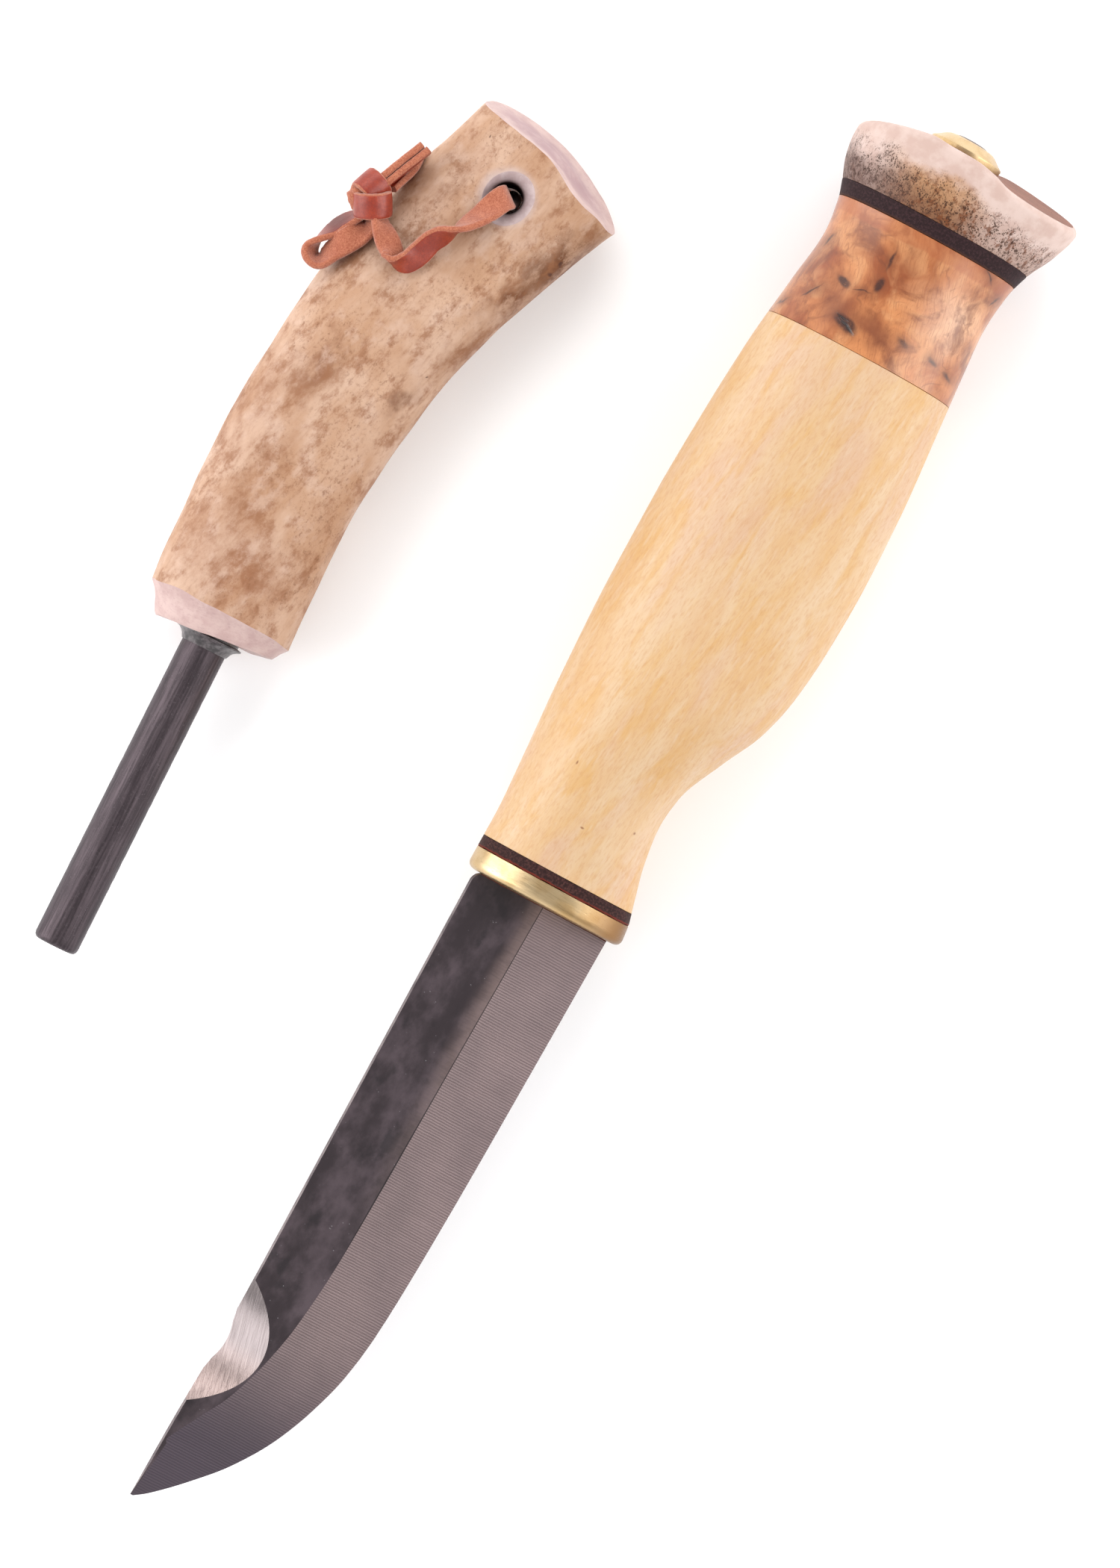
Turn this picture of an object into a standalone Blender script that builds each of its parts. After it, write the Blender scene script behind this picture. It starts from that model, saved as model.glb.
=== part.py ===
"""A Nordic puukko knife and its antler-handled fire steel, lying side by side on a table.

Every size is in millimetres and is turned into metres when a mesh is made. The knife and the fire
steel are each drawn in a frame of their own: Y runs along the piece, X across it and Z is up. Two
empties put those frames on the table.
"""

import math

import bmesh
import bpy
from mathutils import Vector

MM = 0.001
ROUND = 36  # corners around a grip, a pommel or a hole
GAP = 0.3  # between pieces that touch

# Knife: Y 0 is the front face of the bolster, and the blade points along -Y.
KNIFE_PLACE = (24.0, -10.9)
KNIFE_MID = 11.8  # height of the blade's middle plane over the table
BLADE_LENGTH = 95.5
BLADE_HALF_THICK = 1.5
EDGE_HALF_THICK = 0.12
TANG_HALF_THICK = 1.35
SPINE_CHAMFER = 0.3
SPINE_LINE = [(-95.5, -11.05), (-84, -10.8), (-70, -10.3), (-60, -10.2), (-1.4, -10.2), (-0.5, -9.9),
              (0, -9.3)]
EDGE_LINE = [(-95.5, -10.65), (-94.7, -9.5), (-93.4, -8.0), (-90, -4.6), (-86, -1.1), (-80, 2.7), (-74, 5.2),
             (-68, 6.9), (-62, 7.8), (-55, 8.3), (-40, 8.9), (-20, 9.4), (0, 9.85)]
BEVEL_LINE = [(-87, -10.6), (-81, -7.3), (-78.5, -5.9), (-75, -4.5), (-71, -3.3), (-65, -2.1), (-54, -1.1),
              (-24, -0.3), (0, 0.3)]
BEVEL_MEETS_SPINE = -87.0
SCOOP_DEEPEST = Vector((-4.0, -71.3, BLADE_HALF_THICK))  # where the wheel's cut ends on the upper flat
SCOOP_WHEEL_RADIUS = 16.0
SCOOP_TILT = math.radians(28.5)  # of the wheel's axis above the blade's plane
TANG_WIDTH = [(0, 12.0), (6, 11.6), (30, 7.0), (100, 4.6), (118, 4.0)]
SLOT_ROOM = 1.3  # around the tang inside the two grips, for the glue
TANG_LEAN = 0.018  # the tang's middle moves this far across for each millimetre along

BOLSTER_END = 3.1
FRONT_SPACER_END = 4.75
BIRCH_END = 84.5
BURL_END = 102.7
REAR_SPACER_END = 104.9
# How far along the pommel's sanded end lies, for places across it.
POMMEL_CROWN = [(-13, 112.75), (-10, 113.65), (-6, 114.5), (-2.5, 114.95), (1.5, 115.08), (4, 115.08),
                (6.6, 115.02), (9.3, 114.7), (12, 114.43), (15, 114.17), (18, 113.92), (21, 113.6)]
# How much that end leans over towards the underside, for places across it.
POMMEL_LEAN = [(-13, 0.0), (-3, 0.0), (0, 0.03), (4, 0.045), (6.6, 0.085), (9.3, 0.137), (12, 0.15),
               (21, 0.16)]
SPINE_SIDE = [(0, -11.45), (4, -11.4), (8, -11.35), (16, -11.75), (28, -12.5), (44, -13.0), (56, -12.95),
              (68, -12.5), (80, -11.7), (90, -10.5), (97.5, -9.6), (102, -10.1), (105, -11.0), (108, -12.05),
              (111, -12.45), (116, -12.0)]
BELLY_SIDE = [(0, 11.8), (3, 11.5), (6, 10.75), (12, 9.35), (17, 8.85), (21, 9.3), (28, 12.2), (34, 15.1),
              (40, 16.65), (48, 17.5), (57, 17.8), (68, 17.5), (80, 16.6), (90, 15.8), (95.5, 15.45),
              (101, 15.95), (105, 17.1), (109, 19.1), (113, 20.3), (116, 20.0)]
HALF_THICK = [(0, 8.6), (4.8, 8.7), (10, 9.5), (18, 10.5), (26, 11.35), (34, 11.8), (72, 11.8), (80, 11.6),
              (90, 10.9), (97.5, 10.5), (102, 10.6), (105, 10.95), (109, 11.5), (112, 11.8), (116, 11.8)]
OVAL_POWER = 2.2
BURR_ACROSS = 2.1  # place of the tang's end and its burr across the pommel
BURR_SEAT = 115.5
BURR_LEAN = math.radians(-1.5)
PEEN_TOP = 117.45

# Fire steel: Y 0 is the cut end that the rod comes out of, and the rod points along -Y.
FIRE_PLACE = (-32.3, -0.4)
FIRE_TURN = math.radians(1.75)
FIRE_MID = 8.6  # height of the antler's middle plane over the table
ROD_RADIUS = 3.15
ROD_ACROSS = -0.15
ROD_OUT = 46.4
ROD_IN = 20.0
ROD_HOLE_RADIUS = 4.2
ANTLER_LEFT = [(0, -10.2), (4, -10.45), (8, -10.75), (20, -11.3), (30, -11.1), (40, -10.25), (50, -8.9),
               (60, -6.6), (70, -3.4), (80, 0.6), (86, 3.2)]
ANTLER_RIGHT = [(0, 10.5), (8, 10.2), (18, 9.9), (26, 10.15), (34, 10.9), (42, 12.4), (50, 14.6), (58, 17.5),
                (66, 21.0), (74, 24.9), (86, 31.0)]
ANTLER_HALF_THICK = [(0, 7.9), (6, 8.35), (14, 8.6), (44, 8.6), (56, 7.9), (64, 7.2), (70, 7.0), (86, 6.8)]
LACE_HOLE = (9.4, 70.35)
LACE_HOLE_RADIUS = 2.0
LACE_HOLE_MOUTH_RADIUS = 3.6
LACE_WIDTH = 3.3
LACE_THICK = 0.8

# The lace's routes: a place over the table in the fire steel's frame, then the way its smooth side faces.
# The loop starts at the knot, crosses the antler, goes through the hole and comes back from underneath.
LACE_LOOP = [
    ((-4.2, 59.75, 16.6), (-0.5, -0.72, -0.48)),
    ((-2.9, 58.45, 17.2), (-0.25, -0.55, -0.8)),
    ((-1.9, 57.55, 17.4), (-0.13, -0.45, -0.88)),
    ((-0.75, 56.5, 17.9), (-0.35, -0.6, -0.72)),
    ((-0.45, 55.75, 18.2), (0.0, -1.0, 0.0)),
    ((1.33, 56.45, 18.1), (0.49, -0.43, 0.76)),
    ((2.35, 58.25, 17.8), (0.48, -0.17, 0.86)),
    ((3.0, 60.2, 17.9), (0.56, -0.31, 0.77)),
    ((4.0, 61.7, 18.0), (0.58, -0.51, 0.63)),
    ((5.05, 62.8, 18.1), (0.77, -0.62, 0.17)),
    ((6.05, 64.2, 17.9), (0.73, -0.55, -0.41)),
    ((7.6, 66.8, 17.3), (0.42, -0.45, -0.79)),
    ((8.8, 69.5, 16.3), (-0.26, -0.45, -0.85)),
    ((9.35, 70.3, 14.9), (-0.59, -0.76, -0.27)),
    ((9.4, 70.4, 12.4), (-0.61, -0.79, 0.0)),
    ((9.4, 70.35, 9.0), (0.1, -1.0, 0.0)),
    ((9.4, 70.35, 5.4), (0.9, -0.4, 0.0)),
    ((9.5, 70.35, 4.1), (0.95, 0.0, 0.3)),
    ((9.95, 70.35, 2.9), (0.87, 0.0, 0.4)),
    ((10.45, 70.35, 1.85), (1.0, 0.0, 0.0)),
    ((10.0, 70.4, 0.95), (0.4, 0.0, -0.9)),
    ((8.6, 70.45, 0.75), (0.0, 0.0, -1.0)),
    ((5.5, 70.4, 0.75), (0.0, 0.0, -1.0)),
    ((1.4, 70.2, 0.9), (0.0, 0.0, -1.0)),
    ((-2.1, 70.0, 2.0), (-0.6, 0.0, -0.8)),
    ((-4.1, 69.9, 4.8), (-0.93, 0.1, -0.3)),
    ((-4.42, 69.7, 8.2), (-0.97, 0.2, 0.1)),
    ((-4.2, 69.2, 10.3), (-0.88, 0.3, 0.4)),
    ((-4.2, 68.0, 11.72), (-0.82, 0.32, 0.46)),
    ((-4.65, 66.4, 12.6), (-0.82, 0.34, 0.46)),
]
LACE_BOW = [
    ((-7.55, 59.0, 13.9), (-0.77, 0.51, 0.38)),
    ((-8.75, 57.65, 13.3), (-0.76, 0.41, 0.51)),
    ((-9.6, 56.1, 13.0), (-0.78, 0.37, 0.5)),
    ((-10.7, 54.2, 13.0), (-0.92, 0.39, 0.07)),
    ((-11.15, 52.5, 13.0), (-0.87, -0.11, -0.48)),
    ((-10.3, 51.45, 13.2), (-0.25, -0.85, -0.47)),
    ((-9.1, 51.9, 13.6), (0.62, -0.5, -0.6)),
    ((-8.3, 53.6, 14.2), (0.6, -0.2, -0.77)),
    ((-7.55, 55.0, 14.7), (0.25, -0.1, -0.96)),
    ((-6.7, 56.3, 14.95), (0.1, -0.05, -0.99)),
    ((-5.9, 57.6, 15.0), (0.4, -0.2, -0.89)),
    ((-5.3, 58.7, 15.0), (0.75, -0.2, -0.6)),
]
LACE_TAIL_OUTER = [
    ((-6.5, 65.7, 15.55), (-0.91, 0.42, 0.0)),
    ((-5.7, 67.5, 15.55), (-0.91, 0.42, 0.0)),
    ((-4.5, 70.1, 15.35), (-0.91, 0.42, 0.0)),
    ((-3.9, 71.4, 15.25), (-0.91, 0.42, 0.0)),
]
LACE_TAIL_INNER = [
    ((-5.5, 65.3, 15.55), (0.91, -0.42, 0.0)),
    ((-4.7, 67.1, 15.55), (0.91, -0.42, 0.0)),
    ((-3.5, 69.7, 15.35), (0.91, -0.42, 0.0)),
    ((-2.8, 71.2, 15.25), (0.91, -0.42, 0.0)),
]
KNOT_MIDDLE = Vector((-6.9, 62.1, 15.0))
KNOT_HALF_SIZE = (3.0, 2.5, 2.8)


def smooth(stations, at):
    """The value at a place on a curve through (place, value) stations, with no bump between them."""
    if at <= stations[0][0]:
        return stations[0][1]
    if at >= stations[-1][0]:
        return stations[-1][1]
    steps = [(b[0] - a[0], (b[1] - a[1]) / (b[0] - a[0])) for a, b in zip(stations, stations[1:])]

    def slope(i):
        if i in (0, len(steps)):
            return steps[min(i, len(steps) - 1)][1]
        (before, rise), (after, next_rise) = steps[i - 1], steps[i]
        if rise * next_rise <= 0:
            return 0.0
        return (before + after) / ((before + 2 * after) / 3 / rise + (after + 2 * before) / 3 / next_rise)

    i = max(k for k in range(len(steps)) if stations[k][0] <= at)
    width = steps[i][0]
    t = (at - stations[i][0]) / width
    return (
        stations[i][1] * (1 + 2 * t) * (1 - t) ** 2
        + stations[i + 1][1] * t * t * (3 - 2 * t)
        + width * t * (1 - t) * (slope(i) * (1 - t) - slope(i + 1) * t)
    )


def oval(left, right, half, power=2.0, count=ROUND):
    """(x, z) corners around an oval that reaches from left to right and half up and down."""
    middle, reach = (left + right) / 2, (right - left) / 2
    found = []
    for k in range(count):
        turn = 2 * math.pi * k / count
        c, s = math.cos(turn), math.sin(turn)
        size = (abs(c) ** power + abs(s) ** power) ** (-1 / power)
        found.append((middle + reach * c * size, half * s * size))
    return found


def steps_between(start, end, longest):
    """Evenly spaced places from start to end, no further apart than longest."""
    count = max(1, math.ceil(abs(end - start) / longest - 1e-9))
    return [start + (end - start) * k / count for k in range(count + 1)]


def at_y(outline, y):
    """A ring of points with an (x, z) outline, at one place along the piece."""
    return [Vector((x, y, z)) for x, z in outline]


def skin(rings, looped=False):
    """A closed mesh over rings with the same number of corners. Looped rings close on themselves as a
    tube with a wall; otherwise both ends get a cap."""
    mesh = bmesh.new()
    rows = [[mesh.verts.new(point * MM) for point in ring] for ring in rings]
    pairs = list(zip(rows, rows[1:])) + ([(rows[-1], rows[0])] if looped else [])
    for near, far in pairs:
        for k in range(len(near)):
            after = (k + 1) % len(near)
            mesh.faces.new((near[k], near[after], far[after], far[k]))
    if not looped:
        for row in (rows[0], rows[-1]):
            middle = mesh.verts.new(sum((v.co for v in row), Vector()) / len(row))
            for k in range(len(row)):
                mesh.faces.new((row[k], row[(k + 1) % len(row)], middle))
    bmesh.ops.recalc_face_normals(mesh, faces=mesh.faces)
    return mesh


def material(name, colour, roughness, metallic=0.0):
    made = bpy.data.materials.new(name)
    made.use_nodes = True
    shader = made.node_tree.nodes["Principled BSDF"]
    shader.inputs["Base Color"].default_value = (*colour, 1)
    shader.inputs["Roughness"].default_value = roughness
    shader.inputs["Metallic"].default_value = metallic
    return made


def piece(name, mesh, finish, holder, sharp=35):
    """A named object made from a bmesh, held by an empty."""
    data = bpy.data.meshes.new(name)
    mesh.to_mesh(data)
    mesh.free()
    data.shade_smooth()
    data.set_sharp_from_angle(angle=math.radians(sharp))
    data.materials.append(finish)
    made = bpy.data.objects.new(name, data)
    bpy.context.scene.collection.objects.link(made)
    made.parent = holder
    return made


def cut(target, mesh, name):
    """Takes a closed mesh away from a piece."""
    cutter = piece(name, mesh, target.data.materials[0], target.parent)
    cutter.location = target.location
    cutter.hide_render = True
    cutter.display_type = "WIRE"
    boolean = target.modifiers.new("cut_" + name, "BOOLEAN")
    boolean.operation = "DIFFERENCE"
    boolean.solver = "EXACT"
    boolean.object = cutter


def holder(name, place, turn=0.0):
    """An empty that puts a piece's own frame on the table."""
    made = bpy.data.objects.new(name, None)
    bpy.context.scene.collection.objects.link(made)
    made.location = Vector(place) * MM
    made.rotation_euler.z = turn
    return made


# ---- knife ----


def tang_middle(y):
    return max(0.0, y) * TANG_LEAN


def tang_outline(y, room=0.0, power=7.0):
    """(x, z) corners around the tang, or around a slot with that much room to each side of it."""
    half_width, middle = smooth(TANG_WIDTH, y) / 2 + room, tang_middle(y)
    return oval(middle - half_width, middle + half_width, TANG_HALF_THICK + room, power)


def blade_ring(spine, bevel, edge, half, edge_half, y):
    """Eight corners around the blade: two on the spine, then the upper and the lower side."""
    corner = min(SPINE_CHAMFER, half / 2, max(0.02, (bevel - spine) / 2))
    outline = [
        (spine, -half + corner), (spine, half - corner), (spine + corner, half), (bevel, half),
        (edge, edge_half), (edge, -edge_half), (bevel, -half), (spine + corner, -half),
    ]
    return at_y(outline, y)


def make_blade(steel, knife):
    """Blade, stick tang and the peened head on the tang's end, forged as one piece."""
    rings = []
    shoulder = -GAP / 2
    places = steps_between(-BLADE_LENGTH, -60, 1.25) + steps_between(-55, -5, 10)
    places += [-1.4, -0.9, -0.5, shoulder]
    for y in places:
        spine, edge = smooth(SPINE_LINE, y), smooth(EDGE_LINE, y)
        if y < BEVEL_MEETS_SPINE:
            full = smooth(EDGE_LINE, BEVEL_MEETS_SPINE) - smooth(SPINE_LINE, BEVEL_MEETS_SPINE)
            half = max(0.15, BLADE_HALF_THICK * (edge - spine) / full)
            bevel = spine + 0.1 * (edge - spine)
        else:
            half, bevel = BLADE_HALF_THICK, max(smooth(BEVEL_LINE, y), spine + 2 * SPINE_CHAMFER)
        rings.append(blade_ring(spine, bevel, edge, half, min(EDGE_HALF_THICK, half / 2), y))
    side = TANG_HALF_THICK - SPINE_CHAMFER
    for y in [shoulder, 6, 18, 30, 65, 100, 113]:
        half_width, middle = smooth(TANG_WIDTH, y) / 2, tang_middle(y)
        left, right = middle - half_width, middle + half_width
        rings.append(blade_ring(left, right - SPINE_CHAMFER, right, TANG_HALF_THICK, side, y))
    for y, radius in [(114.5, 1.7), (PEEN_TOP - 0.7, 1.7), (PEEN_TOP - 0.4, 2.4), (PEEN_TOP - 0.12, 2.1),
                      (PEEN_TOP, 1.2)]:
        turns = [math.radians(202.5 - 45 * k) for k in range(8)]
        rings.append(at_y([(BURR_ACROSS + radius * math.cos(a), radius * math.sin(a)) for a in turns], y))
    blade = piece("blade", skin(rings), steel, knife, sharp=8)
    along = Vector((math.cos(SCOOP_TILT), 0, math.sin(SCOOP_TILT)))
    outwards = Vector((-math.sin(SCOOP_TILT), 0, math.cos(SCOOP_TILT)))
    middle = SCOOP_DEEPEST + outwards * SCOOP_WHEEL_RADIUS
    rim = []
    for k in range(96):
        turn = 2 * math.pi * k / 96
        away = outwards * math.cos(turn) + Vector((0, math.sin(turn), 0))
        rim.append(middle + away * SCOOP_WHEEL_RADIUS)
    wheel = [[point + along * reach for point in rim] for reach in (-16, 16)]
    cut(blade, skin(wheel), "scoop_wheel")


def grip_outline(y, inset=0.0):
    """(x, z) corners around the knife's outside, from bolster to pommel."""
    left, right, half = smooth(SPINE_SIDE, y), smooth(BELLY_SIDE, y), smooth(HALF_THICK, y)
    return oval(left + inset, right - inset, half - inset, OVAL_POWER)


def stacked(name, start, end, longest, room, finish, knife, rounding=()):
    """One piece of the stack on the tang: the grip's outline outside and the tang's slot inside.
    rounding lists (distance from the front, inset) of the rings that round its front edge off."""
    start, end = start + GAP / 2, end - GAP / 2
    fronts = [start + distance for distance, _ in rounding]
    places = fronts + steps_between(fronts[-1] if fronts else start, end, longest)[len(fronts) > 0:]
    insets = [inset for _, inset in rounding] + [0.0] * len(places)
    outer = [at_y(grip_outline(y, inset), y) for y, inset in zip(places, insets)]
    inner = [at_y(tang_outline(y, room), y) for y in reversed(places)]
    return piece(name, skin(outer + inner, looped=True), finish, knife)


def pommel_face(x, z):
    """How far along the pommel's sanded end lies: crowned across, and leaning over on its belly half."""
    return smooth(POMMEL_CROWN, x) - smooth(POMMEL_LEAN, x) * z


def make_pommel(antler, knife):
    start = REAR_SPACER_END + GAP / 2

    def ring(share, inset, below):
        """A ring part of the way from the spacer to the sanded end, whose rim follows that end."""
        points = []
        for k in range(ROUND):
            y = 114.0
            for _ in range(6):
                x, z = grip_outline(start + (y - start) * share, inset)[k]
                y = pommel_face(x, z) - below
            points.append(Vector((x, start + (y - start) * share, z)))
        return points

    outer = [ring(share, 0, 0.9) for share in (0, 0.2, 0.4, 0.6, 0.8, 0.92, 1)]
    outer += [ring(1, 0.25, 0.25), ring(1, 0.9, 0.0)]
    rim = outer[-1]
    slot = tang_outline(BURR_SEAT, 0.6)
    face = []
    for share in (0.4, 0.75, 1.0):
        ring_points = []
        for point, (x, z) in zip(rim, slot):
            across, up = point.x + (x - point.x) * share, point.z + (z - point.z) * share
            ring_points.append(Vector((across, pommel_face(across, up), up)))
        face.append(ring_points)
    bottom = at_y(tang_outline(start, 0.6), start)
    piece("pommel_antler", skin(outer + face + [bottom], looped=True), antler, knife)


def turned(name, profile, across, finish, parent):
    """A ring turned about a line along Y through a place across, from its (radius, y) profile."""
    rings = [at_y(oval(across - radius, across + radius, radius, count=32), y) for radius, y in profile]
    return piece(name, skin(rings, looped=True), finish, parent)


def make_knife(finishes):
    knife = holder("knife", (*KNIFE_PLACE, KNIFE_MID))
    make_blade(finishes["steel"], knife)
    stacked("bolster", 0, BOLSTER_END, 2, 0.3, finishes["brass"], knife,
            rounding=((0, 1.0), (0.15, 0.5), (0.5, 0.15), (1.0, 0.0)))
    stacked("front_spacer", BOLSTER_END, FRONT_SPACER_END, 2, 0.3, finishes["fibre"], knife)
    stacked("handle_birch", FRONT_SPACER_END, BIRCH_END, 4.8, SLOT_ROOM, finishes["birch"], knife)
    stacked("handle_burl", BIRCH_END, BURL_END, 3, SLOT_ROOM, finishes["burl"], knife)
    stacked("rear_spacer", BURL_END, REAR_SPACER_END, 3, 0.4, finishes["fibre"], knife)
    make_pommel(finishes["antler"], knife)
    burr = turned("pommel_burr", [(5.2, 0), (5.25, 0.25), (4.7, 0.55), (4.2, 1.0), (3.4, 1.5), (2.75, 1.65),
                                  (2.05, 1.1), (2.05, 0)], 0, finishes["brass"], knife)
    burr.location = Vector((BURR_ACROSS, BURR_SEAT, 0)) * MM
    burr.rotation_euler.z = BURR_LEAN
    places = steps_between(FRONT_SPACER_END + 0.2, BURL_END - 0.2, 16)
    bed = [at_y(tang_outline(y, SLOT_ROOM - GAP), y) for y in places]
    bed += [at_y(tang_outline(y, GAP), y) for y in reversed(places)]
    piece("tang_glue", skin(bed, looped=True), finishes["glue"], knife)


# ---- fire steel ----


def antler_point(turn, y, inset=0.0):
    """A point on the antler's natural surface, at a turn around it and a place along it."""
    left, right = smooth(ANTLER_LEFT, y) + inset, smooth(ANTLER_RIGHT, y) - inset
    half = smooth(ANTLER_HALF_THICK, y) - inset
    middle, reach = (left + right) / 2, (right - left) / 2
    c, s = math.cos(turn), math.sin(turn)
    size = (abs(c) ** OVAL_POWER + abs(s) ** OVAL_POWER) ** (-1 / OVAL_POWER)
    return Vector((middle + reach * c * size, y, half * s * size))


def rod_end_face(x):
    """The sawn end that the rod comes out of."""
    return 0.2 + 0.085 * x


def lace_end_face(x, z):
    """The sanded end by the lace: it slants, is crowned across, and leans over towards its underside."""
    across = x - 12.4
    dip = 0.12 * max(0.0, z) * math.exp(-(((across - 5.6) / 3.2) ** 2))
    return 76.8 - 0.3465 * across + 2.2 * (1 - (across / 11.6) ** 2) - 0.26 * z - dip


def make_antler(antler, fire):
    turns = [2 * math.pi * k / ROUND for k in range(ROUND)]
    top = []
    for turn in turns:
        y = 78.0
        for _ in range(30):
            point = antler_point(turn, y)
            y += 0.6 * (lace_end_face(point.x, point.z) - y)
        top.append(y)
    low = [3.3 - 0.3 * math.cos(turn) + 0.5 * abs(math.sin(turn)) ** 1.5 for turn in turns]
    hole = oval(ROD_ACROSS - ROD_HOLE_RADIUS, ROD_ACROSS + ROD_HOLE_RADIUS, ROD_HOLE_RADIUS)
    rings = [at_y(hole, ROD_IN + 1), [Vector((x, rod_end_face(x), z)) for x, z in hole]]
    for share, inset in ((0.0, 2.0), (0.5, 1.1)):
        ring = []
        for turn, skin_edge in zip(turns, low):
            point = antler_point(turn, 0, inset * (1 - 0.15 * math.cos(turn)))
            point.y = rod_end_face(point.x) * (1 - share) + skin_edge * share
            ring.append(point)
        rings.append(ring)
    for share in steps_between(0, 1, 1 / 16):
        rings.append([antler_point(turn, a + (b - a) * share) for turn, a, b in zip(turns, low, top)])
    rim = rings[-1]
    middle = sum(rim, Vector()) / ROUND
    for share in (0.12, 0.4, 0.7):
        ring = []
        for point in rim:
            x, z = point.x + (middle.x - point.x) * share, point.z + (middle.z - point.z) * share
            ring.append(Vector((x, lace_end_face(x, z), z)))
        rings.append(ring)
    grip = piece("antler_grip", skin(rings), antler, fire)
    grip.location.z = FIRE_MID * MM
    profile = [(4.6, 8.0), (LACE_HOLE_MOUTH_RADIUS, 6.95), (2.9, 6.5), (2.3, 5.9), (LACE_HOLE_RADIUS, 5.2)]
    profile += [(radius, -height) for radius, height in reversed(profile)]
    middle = Vector((*LACE_HOLE, 0))
    drill = []
    for radius, height in profile:
        drill.append([middle + Vector((radius * math.cos(a), radius * math.sin(a), height)) for a in turns])
    cut(grip, skin(drill), "lace_drill")


def make_rod(ferro, glue, fire):
    ends = [(ROD_RADIUS - 0.35, -ROD_OUT), (ROD_RADIUS, -ROD_OUT + 0.35), (ROD_RADIUS, ROD_IN)]
    rings = [at_y(oval(ROD_ACROSS - radius, ROD_ACROSS + radius, radius, count=32), y) for radius, y in ends]
    rod = piece("ferro_rod", skin(rings), ferro, fire)
    inside, outside, deep = ROD_RADIUS + GAP, ROD_HOLE_RADIUS - GAP, ROD_IN - 0.5
    bead = turned("rod_glue", [(inside, -1.6), (3.6, -1.4), (3.75, -0.9), (4.1, -0.5), (outside, -0.3),
                               (outside, deep), (inside, deep)], ROD_ACROSS, glue, fire)
    for made in (rod, bead):
        made.location.z = FIRE_MID * MM


# ---- lace ----


def route(knots, step=0.9):
    """Points and facings along a smooth curve through a route's own points."""
    places, facings = [Vector(p) for p, _ in knots], [Vector(n).normalized() for _, n in knots]

    def between(values, i, t):
        a, b = values[max(i - 1, 0)], values[i]
        c, d = values[i + 1], values[min(i + 2, len(values) - 1)]
        square, cube = 2 * a - 5 * b + 4 * c - d, 3 * b - a - 3 * c + d
        return b + 0.5 * ((c - a) * t + square * t**2 + cube * t**3)

    found = []
    for i in range(len(places) - 1):
        count = max(1, round((places[i + 1] - places[i]).length / step))
        for k in range(count + (i == len(places) - 2)):
            found.append((between(places, i, k / count), between(facings, i, k / count)))
    return found


def strap(name, knots, leather, fire):
    """A flat strap swept along a route."""
    line = route(knots)
    rings = []
    for i, (place, facing) in enumerate(line):
        along = (line[min(i + 1, len(line) - 1)][0] - line[max(i - 1, 0)][0]).normalized()
        across = along.cross(facing).normalized() * LACE_WIDTH / 2
        up = across.cross(along).normalized() * LACE_THICK / 2
        rings.append([place + across + up, place - across + up, place - across - up, place + across - up])
    piece(name, skin(rings), leather, fire)


def make_lace(leather, fire):
    strap("lace_loop", LACE_LOOP, leather, fire)
    strap("lace_bow", LACE_BOW, leather, fire)
    strap("lace_tail_outer", LACE_TAIL_OUTER, leather, fire)
    strap("lace_tail_inner", LACE_TAIL_INNER, leather, fire)
    width, depth, height = KNOT_HALF_SIZE
    rings = []
    for level in (-0.97, -0.75, -0.35, 0.0, 0.35, 0.75, 0.97):
        size = (1 - abs(level) ** 2.5) ** (1 / 2.5)
        outline = oval(-width * size, width * size, depth * size, count=16)
        rings.append([KNOT_MIDDLE + Vector((x, y, height * level)) for x, y in outline])
    piece("lace_knot", skin(rings), leather, fire)


def main():
    for old in list(bpy.data.objects):
        bpy.data.objects.remove(old)
    finishes = {
        "steel": material("blade_steel", (0.12, 0.11, 0.12), 0.45, 1.0),
        "brass": material("brass", (0.80, 0.62, 0.28), 0.25, 1.0),
        "fibre": material("dark_fibre", (0.06, 0.04, 0.04), 0.6),
        "birch": material("birch", (0.85, 0.66, 0.40), 0.5),
        "burl": material("birch_burl", (0.55, 0.27, 0.11), 0.4),
        "antler": material("antler", (0.62, 0.45, 0.30), 0.55),
        "ferro": material("ferrocerium", (0.07, 0.06, 0.07), 0.45, 0.6),
        "glue": material("epoxy", (0.08, 0.07, 0.07), 0.2),
        "leather": material("lace_leather", (0.35, 0.09, 0.05), 0.5),
    }
    make_knife(finishes)
    fire = holder("fire_steel", (*FIRE_PLACE, 0), FIRE_TURN)
    make_antler(finishes["antler"], fire)
    make_rod(finishes["ferro"], finishes["glue"], fire)
    make_lace(finishes["leather"], fire)


main()
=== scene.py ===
"""The looks of a Nordic puukko knife and its antler-handled fire steel, lying on a pale table.

Each piece is drawn in millimetres in the frame of the knife or of the fire steel: Y runs along it,
X across it and Z is up. The two frames are found from the CAD model, and a piece's object carries its
frame, so its material is laid out along the same axes.
"""

from math import ceil, cos, exp, hypot, pi, radians, sin, tau

import bmesh
import bpy
from mathutils import Matrix, Vector, noise


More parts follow.
